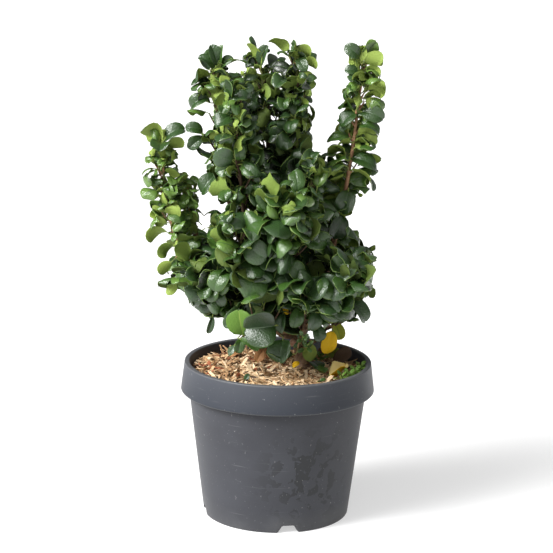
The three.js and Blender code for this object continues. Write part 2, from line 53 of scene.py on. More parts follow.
CAMERA_REACH = 100.0

# Studio
WHITE = (1.0, 1.0, 1.0, 1.0)
FLOOR_HALF = 30.0
FLOOR_COLOUR = (0.52, 0.52, 0.52)
FLOOR_GLOW = 0.54
FLOOR_ROUGHNESS = 0.9
FILL_LIGHT = 0.05

# Lights in the sky, at the upper left, overhead and behind: direction, narrowness and strength
LIGHTS = (
    ((-0.7, -0.4, 0.6), 48.0, 56.0),
    ((-0.15, -0.8, 0.9), 4.0, 1.1),
    ((0.75, 0.65, 0.5), 3.0, 0.3),
)

# Pot
POT_HEIGHT = 0.210
POT_FOOT_RADIUS = 0.0978
POT_WAIST_RADIUS = 0.1192
POT_WALL = 0.0026
POT_SEGMENTS = 288
COLLAR_HEIGHT = 0.039
COLLAR_FOOT_RADIUS = 0.130
COLLAR_TOP_RADIUS = 0.1255
COLLAR_ROOF = 0.007
RIM_WIDTH = 0.007
RIM_ROUND = 0.0014
PAD_RADIUS = 0.058
CHANNEL_HEIGHT = 0.010
CHANNEL_SLOPE = 0.003
FOOT_RING_WIDTH = 0.0054
NOTCH_COUNT = 4
NOTCH_FIRST_TURN = math.radians(10)
NOTCH_TOP_WIDTH = 0.016
NOTCH_FOOT_WIDTH = 0.028
NOTCH_FADE_HEIGHT = 0.0125
POT_AXIS_GAP = 0.0005
POT_EDGE_ANGLE = math.radians(50)
FOOT_EDGE = (0.3, 0.25)
WALL_FOOT_HEIGHTS = (0.006, NOTCH_FADE_HEIGHT)
WALL_FIRST_HEIGHT = 0.03
WALL_RINGS = 8
SKIRT_SHARES = (0.1, 0.5, 0.95)

# Rounded rims of the pot: first and last angle in degrees, and points
HEM_ARC = (190, 355, 8)
LIP_OUTER_ARC = (5, 90, 6)
LIP_INNER_ARC = (90, 180, 6)

# Colours of the pot
POT_DARK = (0.031, 0.032, 0.038)
POT_LIGHT = (0.043, 0.045, 0.053)
# The collar's own blue-grey, darker at its foot as painted shade and lighter at its top as painted light
POT_COLLAR_SHADED = (0.025, 0.029, 0.038)
POT_COLLAR_LIT = (0.046, 0.05, 0.06)
# Painted highlight along the rounded lip at the top of the rim
POT_LIP_HIGHLIGHT = (0.085, 0.088, 0.094)
POT_STAIN = (0.021, 0.022, 0.024)
POT_SPECK = (0.32, 0.32, 0.31)
# Pale grey of the dust on the pot's foot, also used as a painted highlight along the collar's lower edge
POT_DUST_AND_HIGHLIGHT = (0.12, 0.12, 0.115)

# Marks on the pot: noises as scale, detail and distortion, ranges as start, end and the strength at both
POT_GRAIN = (900.0, 0.06, 0.0004)
POT_SPECULAR = 0.28
POT_ROUGHNESS = (0.36, 0.56)
CLOUD_NOISE = (16.0, 7.0)
CLOUD_RANGE = (0.3, 0.75)
COLLAR_FADE = 0.001
# Depth below the rim's top where the collar's painted light is fullest
COLLAR_TOP_FADE = 0.002
# Depths below the rim's top over which the lip's painted highlight comes in
LIP_HIGHLIGHT_DEPTHS = (0.0022, 0.0008)
# Painted highlight along the collar's lower edge: heights above the edge over which it comes in, how far
# below the edge it fades, and its strength
EDGE_HIGHLIGHT_HEIGHTS = (0.0016, 0.0006)
EDGE_HIGHLIGHT_FADE = 0.0005
EDGE_HIGHLIGHT_SHARE = 0.5
STAIN_CENTRE = (0.048, -0.096, 0.078)
STAIN_REACH = 0.085
STAIN_CORE = 0.4
STAIN_NOISE = (62.0, 6.0, 0.4)
STAIN_RANGE = (0.545, 0.565, 0.0, 0.9)
SPECK_NOISE = (330.0, 2.0)
SPECK_RANGE = (0.69, 0.78, 0.0, 0.42)
SCRATCH_STRETCH = (14.0, 14.0, 420.0)
SCRATCH_NOISE = (1.0, 2.0)
SCRATCH_RANGE = (0.69, 0.78, 0.0, 0.14)
DUST_HEIGHT = 0.030
DUST_SHARE = 0.5
DUST_RANGE = (0.4, 0.7, 0.2, 1.0)

# Mulch
MULCH_TOP = 0.196
MULCH_DEPTH = 0.018
MULCH_EDGE_DROP = 0.003
MULCH_FLAT_RADIUS = 0.062
MULCH_HEAP = 0.009
MULCH_HEAP_TURN = 0.2
BED_RINGS = 46
BED_SIDES = 120
BED_AXIS_GAP = 0.001
BED_SINK = 0.0026

# Unevenness of the bed: rise, scale and layer of the noise
BED_RELIEF = ((0.0016, 90, 0.0), (0.0008, 260, 1.0))

# Wood chips
CHIP_COUNT = 2300
CHIP_SEED = 5
CHIP_INSET = 0.45
CHIP_EDGE_GAP = 0.001
CHIP_PITCH = 0.30
CHIP_ROLL = 0.55
CHIP_UNEVEN = 0.5
CHIP_TIP_LIFT = 0.25
CHIP_SINK = 0.0012

# Length, width and thickness of a chip, its lift and its taper: the least, what chance adds and its power
CHIP_MEASURES = ((0.005, 0.018, 1.8), (0.0014, 0.0036, 1.5), (0.0005, 0.0010))
CHIP_LIFT = (0.0, 0.0030, 1.5)
CHIP_TAPER = (0.35, 0.6)

# Where the chips are browner: start and length of the change
BROWN_BACK = (-0.02, 0.08)
BROWN_EDGE = (0.085, 0.03)
BROWN_EDGE_SHARE = 0.4
BROWN_LEFT = (0.030, 0.05)

# Trunk
CLEARANCE = 0.0003
TRUNK_FOOT = (0.034, 0.018, MULCH_TOP + CLEARANCE)
TRUNK_FORK = (0.014, 0.006, 0.260)
TRUNK_BEND_AT = 0.5
TRUNK_ROOT_RADIUS = 0.010
TRUNK_FORK_RADIUS = 0.0075
TRUNK_FLARE = 0.45
TRUNK_FLARE_HEIGHT = 0.009
STUB_AT = 0.45
STUB_TIP = (0.019, -0.004, 0.236)
STUB_RADIUS = 0.005
STUB_POINTS = 14

# Limbs in general
COLLAR_STAND = 0.002
COLLAR_SWELL = 1.25
LIMB_SWEEP = 0.45
LIMB_DROOP = 0.25
LIMB_POINTS = 41
SWELL_REACH = 3

# Bark: sides of a limb's mesh and its relief, and scales of the relief
TRUNK_TUBE = (28, 0.16)
STUB_TUBE = (20, 0.12)
BOUGH_TUBE = (16, 0.13)
RIDGES_ACROSS = 420
RIDGES_ALONG = 150
BARK_GRAIN = 1100
BARK_GRAIN_SHARE = 0.45

# Boughs: name, parent limb, share of the parent's length, tip, radii at the root and the tip
BOUGHS = (
    ("leader", "trunk", 1.0, (-0.018, 0.014, 0.428), (0.0075, 0.0036)),
    ("left", "trunk", 0.72, (-0.104, 0.002, 0.326), (0.0056, 0.0032)),
    ("right", "trunk", 0.62, (0.066, 0.004, 0.345), (0.0056, 0.0034)),
    ("front_low", "trunk", 0.7, (-0.004, -0.028, 0.258), (0.0032, 0.0024)),
    ("front_right", "trunk", 0.6, (0.032, -0.03, 0.262), (0.0032, 0.0024)),
    ("base_right", "trunk", 0.44, (0.058, 0.008, 0.244), (0.003, 0.0022)),
    ("back_low", "trunk", 0.74, (0.0, 0.054, 0.286), (0.0036, 0.0026)),
    ("back_base", "trunk", 0.54, (0.05, 0.056, 0.268), (0.0032, 0.0024)),
    ("left_base", "left", 0.26, (-0.048, -0.018, 0.268), (0.003, 0.0022)),
    ("left_low", "left", 0.5, (-0.078, -0.028, 0.3), (0.003, 0.0024)),
    ("back_side", "left", 0.44, (-0.066, 0.048, 0.322), (0.0032, 0.0024)),
    ("left_middle", "left", 0.64, (-0.078, -0.006, 0.346), (0.0028, 0.0022)),
    ("left_inner", "left", 0.82, (-0.108, 0.02, 0.356), (0.0028, 0.0022)),
    ("front_left", "leader", 0.16, (-0.034, -0.04, 0.318), (0.0038, 0.0028)),
    ("front_centre", "leader", 0.24, (0.004, -0.046, 0.336), (0.0038, 0.0028)),
    ("back_centre", "leader", 0.28, (0.004, 0.058, 0.35), (0.0038, 0.0028)),
    ("centre_left", "leader", 0.32, (-0.06, 0.0, 0.398), (0.0042, 0.003)),
    ("centre_right", "leader", 0.4, (0.01, -0.004, 0.418), (0.004, 0.003)),
    ("back_left", "leader", 0.5, (-0.046, 0.058, 0.4), (0.0036, 0.0028)),
    ("centre_front", "centre_left", 0.4, (-0.046, -0.042, 0.408), (0.0032, 0.0026)),
    ("shoulder", "right", 0.5, (0.036, -0.026, 0.352), (0.0034, 0.0026)),
    ("right_low", "right", 0.32, (0.062, -0.038, 0.306), (0.0032, 0.0024)),
    ("right_back", "right", 0.66, (0.082, 0.036, 0.33), (0.003, 0.0022)),
    ("back_right", "right", 0.42, (0.048, 0.056, 0.346), (0.0032, 0.0024)),
)

# Masses of leaves: name, tip of the stem, reach from it, leaf length in the solids, side twigs
MASSES = (
    ("left_outer", (-0.154, 0.0, 0.5), 0.044, 0.05, 5),
    ("right_tall", (0.104, 0.0, 0.618), 0.044, 0.052, 6),
    ("centre", (-0.029, 0.02, 0.608), 0.054, 0.052, 4),
    ("centre_left", (-0.084, 0.0, 0.602), 0.053, 0.054, 5),
    ("centre_right", (0.018, -0.008, 0.616), 0.058, 0.054, 5),
    ("centre_front", (-0.06, -0.062, 0.588), 0.06, 0.054, 4),
    ("shoulder", (0.042, -0.042, 0.478), 0.062, 0.054, 4),
    ("left_inner", (-0.128, 0.014, 0.446), 0.04, 0.042, 3),
    ("left_middle", (-0.074, -0.014, 0.38), 0.046, 0.042, 3),
    ("left_low", (-0.122, -0.04, 0.326), 0.053, 0.054, 4),
    ("left_base", (-0.076, -0.026, 0.284), 0.056, 0.048, 2),
    ("right_low", (0.094, -0.074, 0.342), 0.06, 0.056, 4),
    ("right_back", (0.108, 0.044, 0.336), 0.047, 0.052, 3),
    ("front_centre", (0.008, -0.096, 0.436), 0.07, 0.058, 5),
    ("front_left", (-0.048, -0.094, 0.412), 0.064, 0.058, 5),
    ("front_low", (-0.034, -0.08, 0.286), 0.06, 0.06, 3),
    ("front_right", (0.038, -0.084, 0.318), 0.06, 0.058, 4),
    ("base_right", (0.068, -0.018, 0.272), 0.048, 0.046, 3),
    ("back_left", (-0.054, 0.086, 0.574), 0.064, 0.056, 5),
    ("back_centre", (0.014, 0.092, 0.54), 0.066, 0.056, 5),
    ("back_right", (0.066, 0.098, 0.44), 0.064, 0.056, 4),
    ("back_side", (-0.096, 0.084, 0.372), 0.058, 0.056, 4),
    ("back_low", (-0.034, 0.106, 0.35), 0.062, 0.058, 4),
    ("back_base", (0.066, 0.1, 0.3), 0.058, 0.056, 3),
)

# A mass grows on the bough of its own name, but for these
STEM_BOUGHS = {"left_outer": "left", "right_tall": "right", "centre": "leader"}

# Parts of the crown, each one piece of joined leaves, and their masses
PARTS_OF_CROWN = {
    "left": ("left_outer", "left_inner", "left_middle", "left_low", "left_base"),
    "centre": ("centre", "centre_left", "centre_right", "centre_front"),
    "right": ("right_tall", "shoulder", "right_low", "right_back", "base_right"),
    "front": ("front_centre", "front_left", "front_low", "front_right"),
    "back": ("back_left", "back_centre", "back_right"),
    "back_low": ("back_side", "back_low", "back_base"),
}

# Habits of masses: sizes of stem and twig leaves, distance of the stem's pairs, finer twigs a twig, youth
HABITS = {
    "left_outer": (0.81, 0.78, 0.0092, 3, 0.36),
    # The inner left mass's youth is partly painted light on leaves that the left arm shades
    "left_inner": (0.76, 0.74, 0.0100, 3, 0.45),
    "right_tall": (1.09, 1.04, 0.0070, 4, 0.16),
}
USUAL_HABIT = (1.0, 1.0, 0.0108, 3, 0.0)

# Stems that show between their leaves: mass and the bare shares of the stem's length
BARE_STEMS = {"right_tall": (0.40, 0.80)}
BARE_HALF_WIDTH = 0.0035
BARE_STEM_SPREAD = 0.5

# Places where the photo shows sky: centre and half size in X and Z, seen from the camera on the plane Y = 0
SKY_GAPS = (
    (-0.113, 0.476, 0.009, 0.014),
    (-0.103, 0.446, 0.004, 0.026),
    (-0.101, 0.404, 0.008, 0.022),
    (-0.155, 0.384, 0.007, 0.014),
    (-0.14, 0.284, 0.02, 0.022),
    (-0.112, 0.258, 0.012, 0.022),
    (0.0615, 0.61, 0.016, 0.05),
    (0.058, 0.548, 0.014, 0.035),
    (0.051, 0.52, 0.01, 0.026),
    (0.111, 0.418, 0.013, 0.018),
    (0.138, 0.33, 0.009, 0.05),
    (-0.12, 0.611, 0.01, 0.014),
    (-0.08, 0.246, 0.018, 0.014),
    (0.092, 0.246, 0.018, 0.016),
    (0.116, 0.279, 0.009, 0.018),
    (0.093, 0.404, 0.007, 0.007),
    (0.117, 0.38, 0.008, 0.012),
)

# Smaller places of that kind, in the same columns
SMALL_GAPS = (
    (-0.06, 0.605, 0.011, 0.005),
    (-0.095, 0.549, 0.004, 0.007),
    (-0.098, 0.528, 0.006, 0.004),
    (-0.093, 0.497, 0.005, 0.004),
    (-0.149, 0.358, 0.008, 0.008),
    (-0.056, 0.379, 0.005, 0.004),
    (0.081, 0.393, 0.006, 0.005),
    (-0.007, 0.54, 0.0025, 0.0025),
    (-0.002, 0.522, 0.0025, 0.0025),
    (-0.02, 0.503, 0.0025, 0.002),
    (0.105, 0.576, 0.004, 0.004),
    (0.096, 0.478, 0.004, 0.004),
    (-0.085, 0.439, 0.003, 0.003),
    (-0.081, 0.418, 0.004, 0.004),
    (-0.037, 0.354, 0.003, 0.003),
)

# Places where the photo shows the dark inside of the crown, in the same columns, and their depth in Y
DEEP_GAPS = (
    (-0.028, 0.555, 0.012, 0.026, 0.0),
    (-0.057, 0.457, 0.007, 0.01, -0.05),
    (-0.046, 0.418, 0.009, 0.007, -0.06),
    (-0.06, 0.3, 0.006, 0.009, -0.03),
    (-0.088, 0.338, 0.008, 0.004, -0.02),
    (-0.009, 0.285, 0.009, 0.006, -0.04),
    (0.033, 0.454, 0.012, 0.004, -0.02),
    (0.033, 0.359, 0.009, 0.007, -0.04),
    (0.051, 0.338, 0.008, 0.011, -0.05),
    (0.054, 0.395, 0.007, 0.007, -0.02),
    (0.066, 0.437, 0.007, 0.02, -0.01),
    (0.08, 0.377, 0.009, 0.006, -0.01),
)

# Depth in Y of the places that are open right through the crown
DEEPEST = 1.0

# Height on the plane Y = 0 below which the crown is open at its foot, and the reach of that opening in X
FOOT_OPEN_BELOW = 0.245
FOOT_OPEN = (-0.058, 0.085)

# Leaves at the foot of the crown: root, tip, side that the top faces, width, arch, fold, top and under tint
FOOT_LEAVES = (
    ((-0.004, -0.078, 0.2785), (-0.042, -0.084, 0.2755), (0.3, -1.0, 0.2), 1.7, 0.9, 0.85, "deep", "olive"),
    ((-0.046, -0.07, 0.2631), (-0.052, -0.078, 0.2974), (-0.1, -1.0, 0.1), 1.25, 0.7, 0.45, "bright", "mid"),
    ((0.006, -0.06, 0.255), (0.002, -0.074, 0.2285), (-0.1, -1.0, 0.3), 1.3, 0.9, 0.8, "dark", "mid"),
    ((0.02, -0.064, 0.2365), (-0.015, -0.072, 0.239), (-0.1, -0.7, 1.0), 0.8, -0.9, 0.7, "green", "pale"),
    ((-0.048, -0.066, 0.257), (-0.053, -0.072, 0.24), (0.0, -1.0, 0.2), 0.9, 0.8, 0.5, "green", "mid"),
    ((-0.05, -0.07, 0.2575), (-0.026, -0.078, 0.245), (0.3, -0.8, 0.7), 0.55, 0.8, 0.9, "fresh", "pale"),
    ((-0.057, -0.064, 0.248), (-0.064, -0.07, 0.235), (-0.3, -1.0, 0.1), 0.75, 0.6, 0.5, "bluish", "olive"),
    ((0.051, -0.034, 0.269), (0.055, -0.042, 0.249), (0.0, -1.0, 0.35), 1.02, 0.9, 0.6, "dark", "olive"),
    ((0.044, -0.014, 0.238), (0.04, -0.018, 0.215), (0.2, 1.0, 0.0), 0.95, 0.6, 0.35, "green", "pale"),
    ((0.072, -0.006, 0.254), (0.064, -0.011, 0.224), (0.1, -1.0, 0.2), 0.84, 0.6, 0.35, "yellow", "yellow"),
    ((0.074, 0.006, 0.264), (0.083, 0.002, 0.24), (0.4, -1.0, 0.1), 0.8, 0.9, 0.55, "turning", "mid"),
    ((0.006, -0.05, 0.288), (0.004, -0.06, 0.264), (-0.4, -1.0, 0.5), 0.76, 1.2, 0.7, "bluish", "mid"),
    ((0.03, -0.05, 0.296), (0.02, -0.06, 0.272), (-0.2, -1.0, 0.6), 0.8, 1.1, 0.65, "green", "mid"),
    ((0.05, -0.052, 0.292), (0.042, -0.06, 0.268), (0.3, -1.0, 0.6), 0.9, 1.1, 0.6, "bluish", "mid"),
    ((-0.051, -0.06, 0.2995), (-0.07, -0.068, 0.273), (0.2, -1.0, 0.25), 0.62, 0.8, 0.6, "dark", "olive"),
    ((-0.087, -0.04, 0.2803), (-0.093, -0.044, 0.2581), (0.4, -1.0, 0.1), 0.5, 0.7, 0.7, "bluish", "olive"),
    ((0.006, -0.034, 0.293), (0.012, -0.042, 0.285), (0.0, -1.0, 0.4), 0.6, 0.6, 0.4, "yellow", "yellow"),
)

# Large leaves along the outline of the crown, in the same columns
OUTER_LEAVES = (
    ((-0.157, 0.0, 0.503), (-0.183, -0.004, 0.521), (0.1, 0.8, 0.9), 1.0, 2.2, 0.3, "green", "pale"),
    ((-0.157, -0.002, 0.504), (-0.158, -0.027, 0.497), (0.0, -0.4, 1.0), 1.35, 0.5, 0.75, "dark", "mid"),
    ((-0.154, 0.001, 0.505), (-0.127, 0.002, 0.521), (-0.2, -0.7, 1.0), 0.8, 1.7, 0.6, "dark", "mid"),
    ((-0.151, 0.0, 0.498), (-0.127, -0.006, 0.504), (0.1, 1.0, 0.7), 0.75, 1.4, 0.3, "green", "pale"),
    ((-0.149, -0.002, 0.384), (-0.173, -0.006, 0.371), (0.0, 0.7, 1.0), 0.75, 2.2, 0.5, "green", "pale"),
    ((-0.141, -0.004, 0.367), (-0.155, -0.008, 0.35), (0.0, 0.7, 1.0), 0.8, 2.2, 0.5, "dark", "mid"),
    ((-0.143, -0.02, 0.348), (-0.158, -0.024, 0.333), (0.1, 1.0, 0.5), 0.85, 1.0, 0.5, "green", "pale"),
    ((-0.135, -0.034, 0.331), (-0.146, -0.038, 0.308), (0.2, 1.0, 0.2), 0.7, 0.7, 0.6, "fresh", "pale"),
    ((-0.103, -0.004, 0.517), (-0.125, -0.006, 0.524), (0.0, -0.6, 0.9), 0.8, 1.6, 0.6, "dark", "mid"),
    ((-0.103, -0.004, 0.512), (-0.121, -0.008, 0.498), (-0.2, -1.0, 0.4), 0.8, 0.9, 0.6, "dark", "mid"),
    ((-0.086, -0.006, 0.464), (-0.104, -0.01, 0.44), (-0.2, -1.0, 0.3), 0.9, 1.4, 0.6, "dark", "mid"),
    ((-0.084, 0.0, 0.606), (-0.093, -0.004, 0.633), (0.3, -1.0, 0.2), 0.75, 0.8, 0.7, "dark", "mid"),
    ((-0.083, 0.0, 0.606), (-0.079, -0.002, 0.633), (-0.4, -1.0, 0.2), 0.6, 0.6, 0.7, "fresh", "mid"),
    ((-0.08, 0.0, 0.603), (-0.065, -0.003, 0.617), (0.0, -0.6, 0.8), 0.75, 1.1, 0.6, "green", "mid"),
    ((-0.087, 0.0, 0.603), (-0.109, -0.003, 0.617), (0.0, -0.7, 0.8), 0.8, 1.4, 0.6, "dark", "mid"),
    ((-0.09, -0.002, 0.593), (-0.112, -0.006, 0.584), (0.1, 0.8, 0.8), 0.8, 1.6, 0.5, "green", "pale"),
    ((-0.029, 0.018, 0.603), (-0.046, 0.015, 0.633), (0.8, 0.4, 0.3), 0.6, 0.5, 0.6, "green", "pale"),
    ((-0.028, 0.017, 0.604), (-0.02, 0.014, 0.631), (-0.5, -0.7, 0.3), 0.8, 0.6, 0.9, "dark", "pale"),
    ((0.008, 0.0, 0.627), (-0.017, -0.003, 0.641), (0.1, 0.9, 0.5), 0.75, 1.7, 0.3, "fresh", "pale"),
    ((-0.079, 0.001, 0.604), (-0.048, -0.003, 0.611), (0.0, 0.6, 0.9), 0.62, 1.5, 0.4, "green", "pale"),
    ((0.016, -0.008, 0.616), (0.037, -0.01, 0.627), (-0.3, 0.8, 0.6), 1.0, 2.0, 0.3, "green", "pale"),
    ((0.019, -0.009, 0.619), (0.03, -0.022, 0.604), (0.2, -1.0, 0.5), 0.8, 0.8, 0.6, "dark", "mid"),
    ((0.022, -0.008, 0.612), (0.044, -0.01, 0.606), (0.0, 0.5, 1.0), 0.8, 2.0, 0.4, "green", "pale"),
    ((0.1, -0.001, 0.619), (0.08, -0.004, 0.633), (0.1, -0.9, 0.7), 0.8, 1.6, 0.5, "dark", "mid"),
    ((0.097, -0.002, 0.606), (0.101, -0.003, 0.635), (-0.2, 1.0, 0.1), 0.85, 0.7, 0.7, "green", "pale"),
    ((0.105, -0.004, 0.614), (0.13, -0.006, 0.614), (-0.1, 0.9, 0.6), 0.9, 1.9, 0.45, "dark", "pale"),
    ((0.106, -0.003, 0.604), (0.125, -0.008, 0.597), (0.0, 0.7, 0.8), 0.8, 1.8, 0.5, "dark", "pale"),
    ((0.101, -0.003, 0.599), (0.081, -0.006, 0.604), (0.0, -0.8, 0.7), 0.8, 1.2, 0.5, "dark", "mid"),
    ((0.105, -0.002, 0.575), (0.132, -0.006, 0.572), (0.0, 0.6, 1.0), 0.8, 2.0, 0.5, "dark", "pale"),
    ((0.103, -0.002, 0.549), (0.132, -0.008, 0.541), (0.2, -0.9, 0.6), 0.8, 1.2, 0.55, "dark", "mid"),
    ((0.1, -0.003, 0.533), (0.127, -0.008, 0.521), (0.1, -0.8, 0.8), 0.85, 1.6, 0.6, "green", "pale"),
    ((0.096, -0.002, 0.51), (0.121, -0.008, 0.502), (0.1, 0.6, 1.0), 0.8, 1.8, 0.5, "green", "pale"),
    ((0.092, -0.002, 0.488), (0.125, -0.008, 0.473), (0.3, -0.9, 0.7), 0.85, 1.4, 0.55, "dark", "pale"),
    ((0.089, -0.002, 0.471), (0.121, -0.008, 0.446), (0.3, 0.5, 1.0), 0.75, 1.6, 0.55, "dark", "pale"),
    ((0.099, -0.002, 0.559), (0.076, -0.006, 0.553), (0.0, 0.7, 0.9), 0.9, 2.0, 0.45, "green", "pale"),
    ((0.097, -0.002, 0.548), (0.077, -0.008, 0.531), (-0.3, -0.9, 0.6), 0.9, 1.2, 0.55, "dark", "mid"),
    ((0.09, -0.002, 0.514), (0.062, -0.006, 0.509), (0.0, -0.6, 0.9), 0.75, 1.4, 0.6, "fresh", "pale"),
    ((0.091, -0.004, 0.509), (0.074, -0.01, 0.501), (0.0, 0.7, 0.9), 0.9, 2.0, 0.45, "green", "pale"),
    ((0.085, -0.002, 0.485), (0.052, -0.006, 0.488), (0.1, 0.5, 1.0), 0.6, 1.2, 0.45, "green", "pale"),
    ((0.083, -0.002, 0.469), (0.063, -0.008, 0.461), (-0.2, -0.8, 0.8), 0.8, 1.4, 0.55, "dark", "mid"),
    ((0.089, -0.004, 0.445), (0.081, -0.014, 0.417), (0.2, -1.0, 0.3), 1.0, 1.1, 0.6, "dark", "mid"),
    ((0.085, -0.004, 0.41), (0.07, -0.016, 0.383), (0.1, -1.0, 0.5), 0.9, 1.1, 0.6, "deep", "mid"),
    ((0.094, -0.04, 0.305), (0.114, -0.046, 0.278), (0.5, -0.8, 0.5), 0.85, 1.2, 0.6, "dark", "mid"),
)

# Leaves that lie on the mulch, in the same columns
FALLEN_LEAVES = (
    ((0.069, -0.042, 0.202), (0.09, -0.01, 0.208), (-0.1, 0.2, 1.0), 0.95, -1.3, 1.2, "straw", "yellow"),
    ((0.076, 0.026, 0.2), (0.098, 0.036, 0.216), (-0.3, -1.0, 0.5), 0.75, 0.8, 0.5, "brown", "brown"),
    ((0.064, 0.044, 0.202), (0.086, 0.046, 0.212), (0.0, 1.0, 0.6), 0.6, 0.5, 0.3, "straw", "pale"),
    ((0.045, 0.008, 0.206), (0.056, -0.02, 0.204), (0.0, -0.1, 1.0), 0.85, 0.6, 0.6, "dark", "mid"),
    ((0.05, -0.018, 0.206), (0.062, -0.04, 0.205), (-0.2, -0.3, 1.0), 0.95, -0.9, 0.9, "fresh", "mid"),
    ((0.092, -0.008, 0.199), (0.101, -0.012, 0.205), (-0.4, -0.6, 0.8), 0.8, 1.4, 0.7, "brown", "brown"),
    ((-0.03, 0.026, 0.199), (-0.017, 0.032, 0.22), (-0.2, -1.0, 0.2), 0.72, 0.9, 0.5, "dry", "dry"),
    ((0.02, 0.0, 0.2), (0.029, -0.004, 0.208), (-0.6, -0.6, 0.5), 0.6, 1.6, 0.5, "yellow", "yellow"),
    ((-0.043, -0.066, 0.198), (-0.038, -0.063, 0.208), (-0.4, -1.0, 0.4), 0.8, 0.6, 0.4, "bluish", "mid"),
    ((0.054, -0.06, 0.199), (0.063, -0.057, 0.201), (0.0, -0.4, 1.0), 0.6, 0.6, 0.4, "fresh", "mid"),
    ((0.055, 0.06, 0.2), (0.075, 0.078, 0.206), (0.0, 0.2, 1.0), 0.8, 0.8, 0.4, "brown", "dry"),
    ((-0.07, 0.046, 0.199), (-0.052, 0.058, 0.204), (0.0, -0.3, 1.0), 0.75, 0.9, 0.5, "dry", "dry"),
)

# Small shoots: limb, share of its length, tip, leaf length, pairs of leaves
SPRIGS = (
    ("trunk", 0.5, (0.032, -0.06, 0.259), 0.012, 4),
    ("trunk", 0.45, (0.039, -0.058, 0.248), 0.011, 3),
    ("front_right", 0.6, (0.034, -0.052, 0.296), 0.011, 4),
    ("front_low", 0.3, (0.016, -0.036, 0.29), 0.01, 3),
)

# Seedlings on the mulch: place and height
SEEDLINGS = (
    (0.082, -0.052, 0.01),
    (0.092, -0.04, 0.009),
    (0.1, -0.028, 0.011),
    (0.108, -0.008, 0.012),
    (0.056, 0.03, 0.012),
)

# Shape of the small shoots and seedlings
SHOOT_BARE = 0.45
SHOOT_LEANS = (1.25, 0.55)
SHOOT_TURN = 0.6
SHOOT_SEAT = 0.0015
SHOOT_TIP_SHARE = 0.7
SHOOT_LEAF = (0.62, 0.7, 0.45)
SPRIG_SAG = 0.1
SPRIG_RADII = (0.0013, 0.0008)
SEEDLING_SINK = 0.002
SEEDLING_LEAN = (0.002, -0.003)
SEEDLING_RADII = (0.0006, 0.0005)
SEEDLING_LEAF = 0.0118
SEEDLING_PAIRS = 3

# Growth of a mass, as in the solids, and then finer
FIRST_SEED = 11
STEM_TURN = math.radians(40)
STEM_TIP_RADIUS = 0.0014
TWIG_FIRST = 0.12
TWIG_LAST = 0.86
TWIG_TURN = math.radians(137.5)
TWIG_LEAN = math.radians(52)
TWIG_TOP_SHARE = 0.6
TWIG_SHORTEST = 0.85
TWIG_LONGEST = 1.15
TWIG_LEAF_ROOM = 0.6
TWIG_RISE = 0.2
TWIG_JITTER = 0.7
TWIG_ROOT_RADIUS = 0.0015
TWIG_TIP_RADIUS = 0.0009
TWIG_TIP_LIFT = 0.25
TWIG_BAREST = 0.5
TWIG_BARE_LENGTH = 0.004
TWIG_LEAF_RANK = 0.5
TWIG_END_POINTS = 12
FINE_FIRST = 0.04
FINE_LAST = 0.96
FINE_SHARE = 0.8
FINE_LEAN = math.radians(44)
TWIG_INTERNODE = 0.0095
PAIR_FIRST = 0.03
PAIR_START = 0.4
APEX_INSET = 0.001
LEAF_SHARE = 0.645
LEAF_TIP_SHARE = 0.72
APEX_LEAF_SHARE = 0.65
LEAF_LEAN_LOW = math.radians(72)
LEAF_LEAN_HIGH = math.radians(46)
LEAF_LEAN_APEX = math.radians(24)
LEAF_FACE_BACK = 0.2
LEAF_STRAY = 0.52
LIGHT_RISE = 0.7
SEAT_DEPTH = 0.4
# Painted shade: darker tints for leaves that point into the crown, and for leaves within a radius of its axis
INNER_SHADE = 0.6
DEEP_SHADE = 0.35
DEEP_RADIUS = 0.075
LIGHT_MARGINS = 0.62
INCURVED_LOW = 0.10
INCURVED_HIGH = 0.60
INCURVED_SHARE = -1.1
INCURVED_FOLD = 0.5

# Room for a leaf
LEAF_TRIES = 3
REACH_SLACK = 1.12
LEAF_SPACING = 0.34
LEAF_ALIKE = 0.5
LEAF_OVERLAP = 0.25
SINGLE_RADIUS = 0.40
PROBE_ROWS = slice(2, None, 2)
PROBE_COLUMNS = (0, 3, 7)
MULCH_MARGIN = 0.003
RIM_MARGIN = 0.002

# How leaves differ from the foot of the crown to its top
LEAF_SIZES = (1.26, 0.80)
LEAF_FACING = (0.26, 0.10)
LEAF_RECURVES = (1.7, 2.2)
LEAF_FOLDS = (0.45, 0.75)

# How leaves differ by chance: the width of a swing about the middle, or the least and what chance adds
SIZE_SWING = 0.70
TURN_SWING = 0.5
LEAN_SWING = 0.3
TWIST_SWING = 2.2
WAVE_SWING = 0.9
FACING_CHANCE = (0.7, 0.6)
RECURVE_CHANCE = (0.35, 0.95)
FOLD_CHANCE = (-0.1, 1.7)
WIDTH_CHANCE = (0.74, 0.44)
LEAF_CURL = 1.25
CURL_CHANCE = (0.5, 1.0)
PHASE_CHANCE = (0.0, 6.28)

# Leaves that are placed singly: their twist and their waves follow from the place
PLACED_WIDTH = 0.88
PLACED_SEAT = 0.004
PLACED_CURL = 0.6
PLACED_TWIST = 0.6
PLACED_WAVE = 0.2
TWIST_BY_PLACE = 900
WAVE_BY_PLACE = 1300
PHASE_BY_PLACE = 40
ARC_OVER_CHORD = 24

# Twigs
WOOD_FEWEST = 4
WOOD_STEP = 0.004
WOOD_SIDES = 7
WOOD_NODE_STEP = 0.0024
WOOD_NODE_POWER = 8
WOOD_NODE_SWELL = 0.10
WOOD_GREEN_FROM = 0.72
TWIG_SURFACES = ("twig_bark", "twig_green", "stem_bark")
BARK_SLOT = 0
GREEN_SLOT = 1
DARK_SLOT = 2

